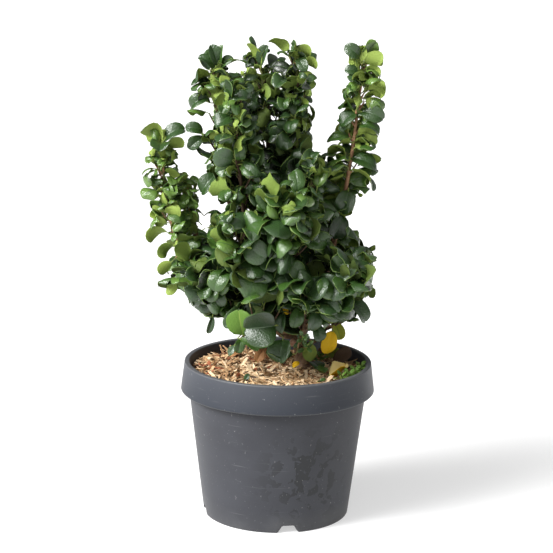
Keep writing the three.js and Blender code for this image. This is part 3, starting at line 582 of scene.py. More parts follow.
# Shape of a leaf
LEAF_ROWS = 9
LEAF_ROW_POWER = 1.15
LEAF_TOP_COLUMNS = (-1.0, -0.93, -0.5, -0.045, 0.045, 0.5, 0.93, 1.0)
LEAF_UNDER_COLUMNS = (-0.93, -0.5, 0.0, 0.5, 0.93)
LEAF_MIDRIB_HALF = 0.1
LEAF_WIDTH = 0.94
LEAF_THICKNESS = 0.00045
LEAF_ROUND_ROOT = 0.60
LEAF_ROUND_TIP = 0.44
LEAF_NARROWEST = 0.05
LEAF_TIP_WIDTH = 0.22
LEAF_NOTCH = 0.25
LEAF_NOTCH_POWER = 6
LEAF_LOBE_END = 1.25
LEAF_WAVES = 7.0
ARCH_POWER = 2.2
PETIOLE_LENGTH = 0.0045
PETIOLE_RADIUS = 0.0007
PETIOLE_OVERLAP = 0.002
PETIOLE_SIDES = 4

# Tints of a leaf's top and underside, from dark to light, and of other things
LEAF_TOPS = (
    ("shade", (0.008, 0.016, 0.004)),
    ("deep", (0.015, 0.037, 0.008)),
    ("dark", (0.021, 0.053, 0.01)),
    ("bluish", (0.025, 0.058, 0.016)),
    ("green", (0.031, 0.076, 0.011)),
    ("fresh", (0.045, 0.1, 0.015)),
    ("young", (0.088, 0.164, 0.027)),
)
# Undersides; the paler ones also stand in for light shining through the leaves, as painted light
LEAF_UNDERS = (
    ("dusky", (0.045, 0.068, 0.016)),
    ("olive", (0.077, 0.113, 0.023)),
    ("mid", (0.14, 0.203, 0.038)),
    ("pale", (0.216, 0.293, 0.059)),
)
OTHER_TINTS = (
    ("margin", (0.155, 0.235, 0.062)),
    ("edge", (0.045, 0.085, 0.024)),
    ("midrib", (0.032, 0.072, 0.02)),
    ("petiole", (0.2, 0.26, 0.06)),
    ("yellow", (0.78, 0.48, 0.015)),
    ("turning", (0.24, 0.27, 0.026)),
    ("straw", (0.78, 0.62, 0.25)),
    ("dry", (0.3, 0.15, 0.062)),
    ("brown", (0.085, 0.05, 0.028)),
    ("bright", (0.085, 0.165, 0.024)),
)
LEAF_TINTS = LEAF_TOPS + LEAF_UNDERS + OTHER_TINTS
TINT = {row[0]: index for index, row in enumerate(LEAF_TINTS)}

# Which tint a leaf takes: a start, and what its height, its place on the twig and chance add
# Tints run darker towards the twigs' roots, partly older leaves and partly painted shade, and undersides run
# paler high in the crown, partly painted light
TOP_WEIGHTS = (0.03, 0.12, 0.36, 0.48)
UNDER_WEIGHTS = (-0.04, 0.78, 0.18, 0.32)

# Surface of a leaf: its grain's scale, strength and depth, its coat, and roughness and coat of two kinds
LEAF_GRAIN = (480.0, 0.70, 0.0012)
LEAF_COAT_IOR = 1.6
LEAF_COAT_ROUGHNESS = 0.25
LEAF_SPECULAR = 0.18
WAXY_TINTS = {*dict(LEAF_TOPS), "midrib"}
WAXY_LEAF = (0.42, 0.8)
DULL_LEAF = (0.55, 0.0)

# Natural surfaces: name, two colours, scale of their patches, roughness, grain's scale, strength and depth
SURFACES = (
    ("potting_mix", (0.02, 0.012, 0.008), (0.06, 0.035, 0.02), 60, 0.95, 300, 0.6, 0.002),
    ("bark", (0.12, 0.072, 0.043), (0.37, 0.245, 0.155), 90, 0.85, 500, 0.6, 0.0012),
    ("cut_wood", (0.44, 0.24, 0.16), (0.72, 0.52, 0.4), 160, 0.8, 700, 0.3, 0.0006),
    ("twig_bark", (0.15, 0.072, 0.036), (0.36, 0.205, 0.11), 140, 0.7, 800, 0.4, 0.0006),
    ("stem_bark", (0.045, 0.026, 0.016), (0.13, 0.08, 0.048), 140, 0.75, 800, 0.4, 0.0006),
    ("twig_green", (0.1, 0.12, 0.035), (0.19, 0.2, 0.06), 140, 0.6, 800, 0.3, 0.0005),
    ("mulch_bed", (0.15, 0.09, 0.044), (0.38, 0.245, 0.13), 140, 0.95, 420, 0.8, 0.002),
)
GRAIN_DETAIL = 4.0
PATCH_DETAIL = 6.0
PATCH_RANGE = (0.32, 0.68)
NATURAL_SPECULAR = 0.3

# Wood chips by tint: name, dark and light colour, share, its weight where chips are pale and how that changes
CHIP_TINTS = (
    ("chip_straw", (0.57, 0.4, 0.23), (0.76, 0.6, 0.4), 0.44, 1.0, -0.5),
    ("chip_tan", (0.45, 0.28, 0.14), (0.62, 0.44, 0.25), 0.3, 1.0, 0.0),
    ("chip_brown", (0.25, 0.135, 0.062), (0.42, 0.255, 0.125), 0.15, 1.0, 2.2),
    ("chip_dark", (0.05, 0.03, 0.018), (0.11, 0.066, 0.04), 0.06, 0.6, 1.5),
    ("chip_red", (0.2, 0.06, 0.026), (0.32, 0.11, 0.05), 0.04, 0.5, 3.5),
)
CHIP_SURFACE = (260, 0.9, 900, 0.5, 0.0006)

# The crown as a whole
UP = np.array((0.0, 0.0, 1.0))
CROWN_AXIS = np.array((-0.010, 0.006))
CROWN_AXIS_BLUR = 0.02
CROWN_FOOT = 0.25
CROWN_HEIGHT = 0.40


def lerp(a, b, share):
    return a + (b - a) * share


def ramp(value, start, length):
    """0 up to the start, and 1 from the given length onwards."""
    return min(max((value - start) / length, 0.0), 1.0)


def unit(vector):
    return vector / np.linalg.norm(vector)


def seeded_random(seed):
    """Random numbers from 0 to 1, the same as in the part's source."""
    mask = 0xFFFFFFFF
    state = seed & mask

    def draw():
        nonlocal state
        state = (state + 0x6D2B79F5) & mask
        mixed = ((state ^ (state >> 15)) * (state | 1)) & mask
        mixed ^= (mixed + (((mixed ^ (mixed >> 7)) * (mixed | 61)) & mask)) & mask
        return (mixed ^ (mixed >> 14)) / 4294967296

    return draw


def drawn(dice, least, spread, power=1.0):
    """A random value that starts at the least and spreads upwards."""
    return least + spread * dice.random() ** power


def swing(dice, width):
    """A random value about 0."""
    return width * (dice.random() - 0.5)


# Materials
def shader_of(name):
    made = bpy.data.materials.new(name)
    made.use_nodes = True
    return made, made.node_tree, made.node_tree.nodes["Principled BSDF"]


def feed(tree, made, sockets):
    """Gives each socket of a shader node a value, or a link from another node's socket."""
    for key, value in sockets.items():
        if isinstance(value, bpy.types.NodeSocket):
            tree.links.new(value, made.inputs[key])
        else:
            made.inputs[key].default_value = value


def shader_node(tree, kind, sockets):
    made = tree.nodes.new(kind)
    feed(tree, made, sockets)
    return made


def computed(tree, operation, *values):
    """A sum, product or the like of numbers and sockets."""
    made = tree.nodes.new("ShaderNodeMath")
    made.operation = operation
    feed(tree, made, dict(enumerate(values)))
    return made.outputs["Value"]


def compared(tree, operation, first, second):
    """A number from two vectors, such as their distance."""
    made = tree.nodes.new("ShaderNodeVectorMath")
    made.operation = operation
    feed(tree, made, {0: first, 1: second})
    return made.outputs["Value"]


def noise_of(tree, vector, scale, detail, distortion=0.0):
    """A noise pattern over a vector, as a socket."""
    sockets = {"Vector": vector, "Scale": scale, "Detail": detail, "Distortion": distortion}
    return shader_node(tree, "ShaderNodeTexNoise", sockets).outputs["Fac"]


def ranged(tree, value, start, end, low=0.0, high=1.0):
    """A value that runs from low to high while another runs from start to end."""
    sockets = {"Value": value, "From Min": start, "From Max": end, "To Min": low, "To Max": high}
    return shader_node(tree, "ShaderNodeMapRange", sockets).outputs["Result"]


def two_colours(tree, share, first, second):
    """A colour between two others, where each is a colour or a socket."""
    made = tree.nodes.new("ShaderNodeMix")
    made.data_type = "RGBA"
    feed(tree, made, {"Factor": share})
    for key, colour in (("A", first), ("B", second)):
        feed(tree, made, {key: (*colour, 1.0) if isinstance(colour, tuple) else colour})
    return made.outputs["Result"]


def grained(tree, shader, scale, strength, distance):
    """Gives a shader a fine relief, and returns the place on the piece that the relief follows."""
    place = tree.nodes.new("ShaderNodeTexCoord").outputs["Object"]
    height = noise_of(tree, place, scale, GRAIN_DETAIL)
    sockets = {"Strength": strength, "Distance": distance, "Height": height}
    feed(tree, shader, {"Normal": shader_node(tree, "ShaderNodeBump", sockets).outputs["Normal"]})
    return place


def leaf_material(name, colour, roughness, coat):
    """A leaf's plain colour under a waxy coat, with a fine leathery grain."""
    made, tree, shader = shader_of(name)
    grained(tree, shader, *LEAF_GRAIN)
    feed(tree, shader, {
        "Base Color": (*colour, 1.0),
        "Roughness": roughness,
        "Coat Weight": coat,
        "Coat IOR": LEAF_COAT_IOR,
        "Coat Roughness": LEAF_COAT_ROUGHNESS,
        "Coat Normal": shader.inputs["Normal"].links[0].from_socket,
        "Specular IOR Level": LEAF_SPECULAR,
    })
    return made


def mottled_material(name, dark, light, scale, roughness, *grain):
    """A rough natural surface: two colours in soft patches, over a grain of its own."""
    made, tree, shader = shader_of(name)
    place = grained(tree, shader, *grain)
    patches = ranged(tree, noise_of(tree, place, scale, PATCH_DETAIL), *PATCH_RANGE)
    feed(tree, shader, {
        "Base Color": two_colours(tree, patches, dark, light),
        "Roughness": roughness,
        "Specular IOR Level": NATURAL_SPECULAR,
    })
    return made


def pot_material():
    """Satin blue-grey plastic with dark water stains, pale specks, fine scratches and a dusty foot, with
    painted shade and light on the collar and painted highlights along the lip and the collar's lower edge.
    """
    made, tree, shader = shader_of("pot_plastic")
    place = grained(tree, shader, *POT_GRAIN)
    height = shader_node(tree, "ShaderNodeSeparateXYZ", {"Vector": place}).outputs["Z"]
    clouds = noise_of(tree, place, *CLOUD_NOISE)
    brink = POT_HEIGHT - COLLAR_HEIGHT
    colour = two_colours(tree, ranged(tree, clouds, *CLOUD_RANGE), POT_DARK, POT_LIGHT)
    # Painted shade and light: the collar darker at its foot and lighter towards its top
    painted_collar_light = ranged(tree, height, brink, POT_HEIGHT - COLLAR_TOP_FADE)
    collar = two_colours(tree, painted_collar_light, POT_COLLAR_SHADED, POT_COLLAR_LIT)
    # Painted highlight along the lip
    lip_highlight = ranged(tree, height, POT_HEIGHT - LIP_HIGHLIGHT_DEPTHS[0], POT_HEIGHT - LIP_HIGHLIGHT_DEPTHS[1])
    collar = two_colours(tree, lip_highlight, collar, POT_LIP_HIGHLIGHT)
    # Painted highlight along the collar's lower edge, in the dust colour
    edge_highlight = ranged(tree, height, brink + EDGE_HIGHLIGHT_HEIGHTS[0], brink + EDGE_HIGHLIGHT_HEIGHTS[1], 0.0, EDGE_HIGHLIGHT_SHARE)
    away = compared(tree, "DISTANCE", place, STAIN_CENTRE)
    near = ranged(tree, away, STAIN_REACH, STAIN_CORE * STAIN_REACH)
    blots = ranged(tree, noise_of(tree, place, *STAIN_NOISE), *STAIN_RANGE)
    stretched = shader_node(tree, "ShaderNodeMapping", {"Vector": place, "Scale": SCRATCH_STRETCH})
    scratches = noise_of(tree, stretched.outputs["Vector"], *SCRATCH_NOISE)
    low = ranged(tree, height, DUST_HEIGHT, 0.0, 0.0, DUST_SHARE)
    layers = (
        (ranged(tree, height, brink - COLLAR_FADE, brink), collar),
        # Painted highlight along the collar's lower edge
        (computed(tree, "MULTIPLY", edge_highlight, ranged(tree, height, brink - EDGE_HIGHLIGHT_FADE, brink)), POT_DUST_AND_HIGHLIGHT),
        (computed(tree, "MULTIPLY", near, blots), POT_STAIN),
        (ranged(tree, noise_of(tree, place, *SPECK_NOISE), *SPECK_RANGE), POT_SPECK),
        (ranged(tree, scratches, *SCRATCH_RANGE), POT_SPECK),
        (computed(tree, "MULTIPLY", low, ranged(tree, clouds, *DUST_RANGE)), POT_DUST_AND_HIGHLIGHT),
    )
    for share, layer in layers:
        colour = two_colours(tree, share, colour, layer)
    feed(tree, shader, {
        "Base Color": colour,
        "Roughness": ranged(tree, clouds, 0.0, 1.0, *POT_ROUGHNESS),
        "Specular IOR Level": POT_SPECULAR,
    })
    return made


LEAF_MATERIALS = [
    leaf_material(f"leaf_{name}", colour, *(WAXY_LEAF if name in WAXY_TINTS else DULL_LEAF))
    for name, colour in LEAF_TINTS
]
POT_PLASTIC = pot_material()
SURFACE = {row[0]: mottled_material(*row) for row in SURFACES}
CHIPS = [mottled_material(*row[:3], *CHIP_SURFACE) for row in CHIP_TINTS]


# Meshes from arrays
def mesh_piece(name, vertices, polygons, materials, slots=0, smooth=True, creased=None):
    """A piece from arrays, where polygons is a list of index arrays.

    Edges between creased vertices are sharp.
    """
    corners = np.concatenate([rows.ravel() for rows in polygons]).astype(np.int32)
    totals = np.concatenate([np.full(len(rows), rows.shape[1]) for rows in polygons])
    starts = np.concatenate([[0], np.cumsum(totals)[:-1]]).astype(np.int32)
    mesh = bpy.data.meshes.new(name)
    mesh.vertices.add(len(vertices))
    mesh.vertices.foreach_set("co", np.asarray(vertices, np.float32).ravel())
    mesh.loops.add(len(corners))
    mesh.loops.foreach_set("vertex_index", corners)
    mesh.polygons.add(len(totals))
    mesh.polygons.foreach_set("loop_start", starts)
    mesh.polygons.foreach_set("material_index", np.full(len(totals), slots, np.int32))
    mesh.update(calc_edges=True)
    for made in materials:
        mesh.materials.append(made)
    if smooth:
        mesh.shade_smooth()
    else:
        mesh.shade_flat()
    if creased is not None:
        ends = np.zeros(2 * len(mesh.edges), np.int32)
        mesh.edges.foreach_get("vertices", ends)
        sharp = mesh.attributes.new("sharp_edge", "BOOLEAN", "EDGE")
        sharp.data.foreach_set("value", creased[ends.reshape(-1, 2)].all(1))
    piece = bpy.data.objects.new(name, mesh)
    bpy.context.scene.collection.objects.link(piece)
    return piece


class Heap:
    """Vertices, polygons and material slots that are gathered for one joined piece."""

    def __init__(self):
        self.vertices = []
        self.polygons = []
        self.slots = []
        self.creased = []
        self.count = 0

    def add(self, vertices, polygon_sets, creased=False):
        """polygon_sets is a list of pairs: an index array and its material slots."""
        for rows, slots in polygon_sets:
            self.polygons.append(np.asarray(rows) + self.count)
            self.slots.append(np.broadcast_to(slots, len(rows)))
        self.vertices.append(vertices)
        self.creased.append(np.broadcast_to(creased, len(vertices)))
        self.count += len(vertices)

    def piece(self, name, materials, smooth=True):
        vertices = np.concatenate(self.vertices)
        slots = np.concatenate(self.slots)
        creased = np.concatenate(self.creased)
        return mesh_piece(name, vertices, self.polygons, materials, slots, smooth, creased)


def round_turns(sides):
    """Angles of evenly spaced points round a ring."""
    return np.arange(sides) * 2 * math.pi / sides


def ring_quads(rings, sides):
    """Quads between rings of vertices, where each ring has the given number of sides."""
    columns = np.arange(sides)
    following = (columns + 1) % sides
    first = np.arange(rings - 1)[:, None] * sides
    corners = (columns, following, sides + following, sides + columns)
    return np.stack([first + corner for corner in corners], 2).reshape(-1, 4)


def ring_ends(rings, sides):
    """The polygons that close the first and the last ring."""
    return np.stack([np.arange(sides)[::-1], np.arange(sides) + (rings - 1) * sides])


# Limbs
class Limb:
    """The axis of a limb, as evenly spaced points, and its girth."""

    def __init__(self, points, root_radius, tip_radius):
        steps = np.linalg.norm(np.diff(points, axis=0), axis=1)
        travel = np.concatenate([[0.0], np.cumsum(steps)])
        even = np.linspace(0.0, travel[-1], LIMB_POINTS)
        self.points = np.stack([np.interp(even, travel, points[:, k]) for k in range(3)], 1)
        self.length = travel[-1]
        self.radii = (root_radius, tip_radius)

    def at(self, share):
        place = min(max(share, 0.0), 1.0) * (LIMB_POINTS - 1)
        index = min(int(place), LIMB_POINTS - 2)
        return lerp(self.points[index], self.points[index + 1], place - index)

    def tangent(self, share):
        index = min(max(int(round(share * (LIMB_POINTS - 1))), 1), LIMB_POINTS - 2)
        return unit(self.points[index + 1] - self.points[index - 1])

    def radius(self, share):
        return lerp(*self.radii, share)


def curve_points(root, bend, tip):
    share = np.linspace(0.0, 1.0, LIMB_POINTS)[:, None]
    return (1 - share) ** 2 * root + 2 * share * (1 - share) * bend + share**2 * tip


def limb_curve(root, heading, tip):
    """The points of a limb that sets out along a heading and bends to its tip."""
    bend = root + heading * LIMB_SWEEP * np.linalg.norm(tip - root)
    return curve_points(root, bend, tip)


def perpendicular(tangent, turn):
    side = unit(np.array((1.0, 0.0, 0.0)) - tangent * tangent[0])
    return side * math.cos(turn) + np.cross(tangent, side) * math.sin(turn)


def clear_of_skin(limb_radius, shoot_radius, slant):
    return (limb_radius + shoot_radius * abs(math.cos(slant))) / math.sin(slant)


def trunk_limb():
    foot = np.array(TRUNK_FOOT)
    fork = np.array(TRUNK_FORK)
    bend = np.array((foot[0], foot[1], lerp(foot[2], fork[2], TRUNK_BEND_AT)))
    return Limb(curve_points(foot, bend, fork), TRUNK_ROOT_RADIUS, TRUNK_FORK_RADIUS)


def bough_limb(parent, share, tip, radii):
    axis = parent.at(share)
    along = parent.tangent(share)
    if share == 1:
        return Limb(limb_curve(axis, along, tip), *radii)
    heading = unit(unit(tip - axis) - UP * LIMB_DROOP)
    slant = math.acos(float(np.dot(heading, along)))
    skin = clear_of_skin(parent.radius(share), radii[0], slant)
    root = axis + heading * (skin + COLLAR_STAND + CLEARANCE)
    return Limb(np.vstack([axis[None], limb_curve(root, heading, tip)]), *radii)


limbs = {"trunk": trunk_limb()}
for name, parent, share, tip, radii in BOUGHS:
    limbs[name] = bough_limb(limbs[parent], share, np.array(tip), radii)


def bark_relief(spot, seed):
    """Lengthwise ridges and a finer grain, from about -1 to 1."""
    ridges = Vector((spot.x * RIDGES_ACROSS, spot.y * RIDGES_ACROSS, spot.z * RIDGES_ALONG + seed))
    return noise.noise(ridges) + BARK_GRAIN_SHARE * noise.noise(spot * BARK_GRAIN)


def tube(points, radii, sides, relief=0.0, seed=0.0):
    """Vertices, quads and ends of a tube along points, with bark relief as a share of its radius."""
    tangents = np.gradient(points, axis=0)
    tangents /= np.linalg.norm(tangents, axis=1)[:, None]
    side = perpendicular(tangents[0], 0.0)
    turns = round_turns(sides)
    rings = []
    for point, tangent, radius in zip(points, tangents, radii):
        side = unit(side - tangent * np.dot(side, tangent))
        other = np.cross(tangent, side)
        out = np.cos(turns)[:, None] * side + np.sin(turns)[:, None] * other
        girth = np.full(sides, radius)
        if relief:
            for k in range(sides):
                girth[k] = radius * (1 + relief * bark_relief(Vector(point + out[k] * radius), seed))
        rings.append(point + out * girth[:, None])
    return np.concatenate(rings), ring_quads(len(points), sides), ring_ends(len(points), sides)


def limbs_piece():
    """Trunk and boughs with the relief of their bark, and the stub left by a cut shoot."""
    heap = Heap()
    share = np.linspace(0.0, 1.0, LIMB_POINTS)
    trunk = limbs["trunk"]
    girth = trunk.radius(share) * (1 + TRUNK_FLARE * np.exp(-share * trunk.length / TRUNK_FLARE_HEIGHT))
    vertices, quads, ends = tube(trunk.points, girth, *TRUNK_TUBE)
    heap.add(vertices, [(quads, 0), (ends, 0)])
    stub_points = np.linspace(trunk.at(STUB_AT), np.array(STUB_TIP), STUB_POINTS)
    stub_girth = np.linspace(STUB_RADIUS * COLLAR_SWELL, STUB_RADIUS, STUB_POINTS)
    vertices, quads, ends = tube(stub_points, stub_girth, *STUB_TUBE)
    heap.add(vertices, [(quads, 0), (ends[:1], 0), (ends[1:], 1)])
    for number, (name, *_, radii) in enumerate(BOUGHS):
        limb = limbs[name]
        swell = 1 + (COLLAR_SWELL - 1) * np.exp(-share * limb.length / (SWELL_REACH * radii[0]))
        vertices, quads, ends = tube(limb.points, limb.radius(share) * swell, *BOUGH_TUBE, number)
        heap.add(vertices, [(quads, 0), (ends, 0)])
    piece = heap.piece("bark_limbs", [SURFACE["bark"], SURFACE["cut_wood"]])
    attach(piece, "root")
    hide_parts("trunk", *(f"{row[0]}_bough" for row in BOUGHS))


# Leaves
def leaf_rows():
    """Shares of a leaf's length, close together at its round tip, and its half width at each."""
    along = np.sin(0.5 * math.pi * np.linspace(0.0, 1.0, LEAF_ROWS + 1)) ** LEAF_ROW_POWER
    width = along**LEAF_ROUND_ROOT * (1 - along) ** LEAF_ROUND_TIP
    width = np.maximum(width / width.max(), LEAF_NARROWEST)
    width[-1] = LEAF_TIP_WIDTH
    return along, width


LEAF_ALONG, LEAF_OUTLINE = leaf_rows()


def facets(left, right):
    """Triangles between two columns of vertices, all split along the same diagonal."""
    lower = np.stack([left[:-1], right[:-1], right[1:]], 1)
    upper = np.stack([left[:-1], right[1:], left[1:]], 1)
    return np.concatenate([lower, upper])


def leaf_polygons():
    """The polygons of one leaf: top strips, under strips and the two small ends."""
    top = len(LEAF_TOP_COLUMNS)
    rows = LEAF_ROWS + 1
    upper = np.arange(rows * top).reshape(rows, top)
    lower = rows * top + np.arange(rows * len(LEAF_UNDER_COLUMNS)).reshape(rows, -1)
    under = np.concatenate([upper[:, :1], lower, upper[:, -1:]], 1)
    strips = [facets(upper[:, k], upper[:, k + 1]) for k in range(top - 1)]
    backs = [facets(under[:, k], under[:, k + 1])[:, ::-1] for k in range(under.shape[1] - 1)]
    root = np.concatenate([under[0], upper[0, 1:-1][::-1]])[None]
    tip = np.concatenate([upper[-1], under[-1, 1:-1][::-1]])[None]
    return strips, np.concatenate(backs), root, tip


LEAF_STRIPS, LEAF_BACK, LEAF_ROOT_END, LEAF_TIP_END = leaf_polygons()
ON_MIDRIB = np.tile(np.abs(LEAF_TOP_COLUMNS) < LEAF_MIDRIB_HALF, LEAF_ROWS + 1)
LEAF_CREASE = np.concatenate([ON_MIDRIB, np.zeros((LEAF_ROWS + 1) * len(LEAF_UNDER_COLUMNS), bool)])


def leaf_vertices(leaf):
    """Vertices of one leaf, whose blade arches back along its midrib and rises from it to both sides."""
    angle = -leaf["recurve"] * LEAF_ALONG**(ARCH_POWER - 1)
    steps = np.diff(LEAF_ALONG) * leaf["length"]
    middle = 0.5 * (angle[1:] + angle[:-1])
    forward = np.concatenate([[0.0], np.cumsum(steps * np.cos(middle))])
    rise = np.concatenate([[0.0], np.cumsum(steps * np.sin(middle))])
    across = np.cross(leaf["along"], leaf["face"])
    spine = leaf["root"] + np.outer(forward, leaf["along"]) + np.outer(rise, leaf["face"])
    normal = np.outer(-np.sin(angle), leaf["along"]) + np.outer(np.cos(angle), leaf["face"])
    twist = leaf["twist"] * LEAF_ALONG
    side = np.cos(twist)[:, None] * across + np.sin(twist)[:, None] * normal
    normal = np.cos(twist)[:, None] * normal - np.sin(twist)[:, None] * across
    half = 0.5 * leaf["width"] * leaf["length"] * LEAF_OUTLINE
    wave = leaf["wave"] * np.sin(leaf["phase"] + LEAF_WAVES * LEAF_ALONG)
    onward = np.outer(np.cos(angle), leaf["along"]) + np.outer(np.sin(angle), leaf["face"])
    onward *= (0.5 * LEAF_NOTCH * leaf["width"] * leaf["length"] * LEAF_ALONG**LEAF_NOTCH_POWER)[:, None]

    def column(t, drop):
        slope = leaf["fold"] - leaf["curl"] * abs(t)
        out = math.copysign((math.sin(leaf["fold"]) - math.sin(slope)) / leaf["curl"], t)
        up = (math.cos(slope) - math.cos(leaf["fold"])) / leaf["curl"] + wave * t * abs(t)
        lobe = onward * abs(t) * (LEAF_LOBE_END - abs(t))
        return spine + lobe + side * (half * out)[:, None] + normal * (half * up - drop)[:, None]

    top = np.stack([column(t, 0.0) for t in LEAF_TOP_COLUMNS], 1)
    under = np.stack([column(t, LEAF_THICKNESS) for t in LEAF_UNDER_COLUMNS], 1)
    return top, under


def add_leaf(heap, leaf):
    """A leaf's blade and its stalk, added to a heap."""
    top, under = leaf_vertices(leaf)
    body, back, rim, rib = (TINT[leaf[key]] for key in ("top", "under", "margin", "midrib"))
    sets = list(zip(LEAF_STRIPS, (rim, body, body, rib, body, body, rim)))
    sets += [(LEAF_BACK, back), (LEAF_ROOT_END, back), (LEAF_TIP_END, rim)]
    heap.add(np.concatenate([top.reshape(-1, 3), under.reshape(-1, 3)]), sets, LEAF_CREASE)
    line = np.stack([leaf["seat"], leaf["root"] + leaf["along"] * PETIOLE_OVERLAP])
    vertices, quads, ends = tube(line, (PETIOLE_RADIUS, PETIOLE_RADIUS), PETIOLE_SIDES)
    heap.add(vertices, [(quads, TINT["petiole"]), (ends, TINT["petiole"])])


# Masses of leaves
class Mass:
    """One mass: its stem, its side twigs by the source's rule, and finer twigs between them."""

    def __init__(self, index, row):
        self.name, tip, self.reach, self.leaf, twigs = row
        habit = HABITS.get(self.name, USUAL_HABIT)
        self.stem_leaf, self.twig_leaf, self.internode, finer, self.young = habit
        parent = limbs[STEM_BOUGHS.get(self.name, self.name)]
        points = limb_curve(parent.at(1.0), parent.tangent(1.0), np.array(tip))
        self.stem = Limb(points, parent.radius(1.0), STEM_TIP_RADIUS)
        self.stem.turn = STEM_TURN
        self.stem.spread = BARE_STEM_SPREAD if self.name in BARE_STEMS else None
        self.stem.bare = PAIR_FIRST
        self.random = seeded_random(FIRST_SEED + index)
        self.dice = np.random.default_rng(FIRST_SEED + index)
        self.axes = [self.stem]
        for k in range(twigs):
            self.add_twig((k + 0.5) / twigs, TWIG_FIRST, TWIG_LAST, k, 1.0, TWIG_LEAN)
        fine = twigs * finer
        for k in range(fine):
            self.add_twig((k + 0.5) / fine, FINE_FIRST, FINE_LAST, k + 0.5, FINE_SHARE, FINE_LEAN)

    def add_twig(self, rank, first, last, number, share, lean):
        at = lerp(first, last, rank)
        turn = number * TWIG_TURN + TWIG_JITTER * (self.random() - 0.5)
        room = self.reach - TWIG_LEAF_ROOM * self.leaf * LEAF_SHARE
        shrink = lerp(1.0, TWIG_TOP_SHARE, rank) * lerp(TWIG_SHORTEST, TWIG_LONGEST, self.random())
        tangent = self.stem.tangent(at)
        heading = tangent * math.cos(lean) + perpendicular(tangent, turn) * math.sin(lean)
        heading = unit(heading + UP * TWIG_RISE)
        root = self.stem.at(at)
        tip = root + heading * room * shrink * share
        tip += UP * TWIG_TIP_LIFT * np.linalg.norm(tip - root)
        twig = Limb(limb_curve(root, heading, tip), TWIG_ROOT_RADIUS, TWIG_TIP_RADIUS)
        twig.turn = turn
        twig.spread = None
        twig.bare = min(TWIG_BAREST, (self.stem.radius(at) + TWIG_BARE_LENGTH) / twig.length)
        self.axes.append(twig)

    def reach_share(self, points):
        """How far points are from the stem, as a share of the reach."""
        gaps = np.linalg.norm(points[:, None] - self.stem.points[None], axis=2)
        return gaps.min(1) / self.reach


def leaf_places(axis, internode):
    """Crosswise pairs along an axis, and an upright pair at its tip: share, lean and turn."""
    pairs = max(1, round(axis.length * (1 - axis.bare) / internode))
    apex = 1 - APEX_INSET / axis.length
    places = []
    for k in range(pairs + 1):
        at = lerp(axis.bare, apex, min(1.0, (k + PAIR_START) / pairs))
        lean = LEAF_LEAN_APEX if k == pairs else lerp(LEAF_LEAN_LOW, LEAF_LEAN_HIGH, at)
        turn = axis.turn + k * math.pi / 2
        if axis.spread is not None:
            turn = axis.spread * (-1) ** k
        for half in (0.0, math.pi):
            places.append((at, lean, turn + half))
    return places


def leaf_frame(tangent, radial, lean, outward, facing, stray):
    """Along the midrib and up from the face, which is turned towards the light by a share."""
    along = tangent * math.cos(lean) + radial * math.sin(lean)
    face = tangent + UP - radial * LEAF_FACE_BACK
    face = unit(face - along * np.dot(face, along))
    light = unit(outward + UP * LIGHT_RISE)
    face = unit(face * (1 - facing) + light * facing)
    face = unit(face + stray)
    along = unit(along - face * np.dot(along, face))
    return along, face


def choose_tint(tints, weights, dice, height, share, young):
    """One of a row of tints, further along it near the tips and high in the crown."""
    least, by_height, by_share, by_chance = weights
    rank = least + by_height * height + by_share * share + by_chance * dice.random() + young
    return tints[min(max(int(rank * len(tints)), 0), len(tints) - 1)][0]


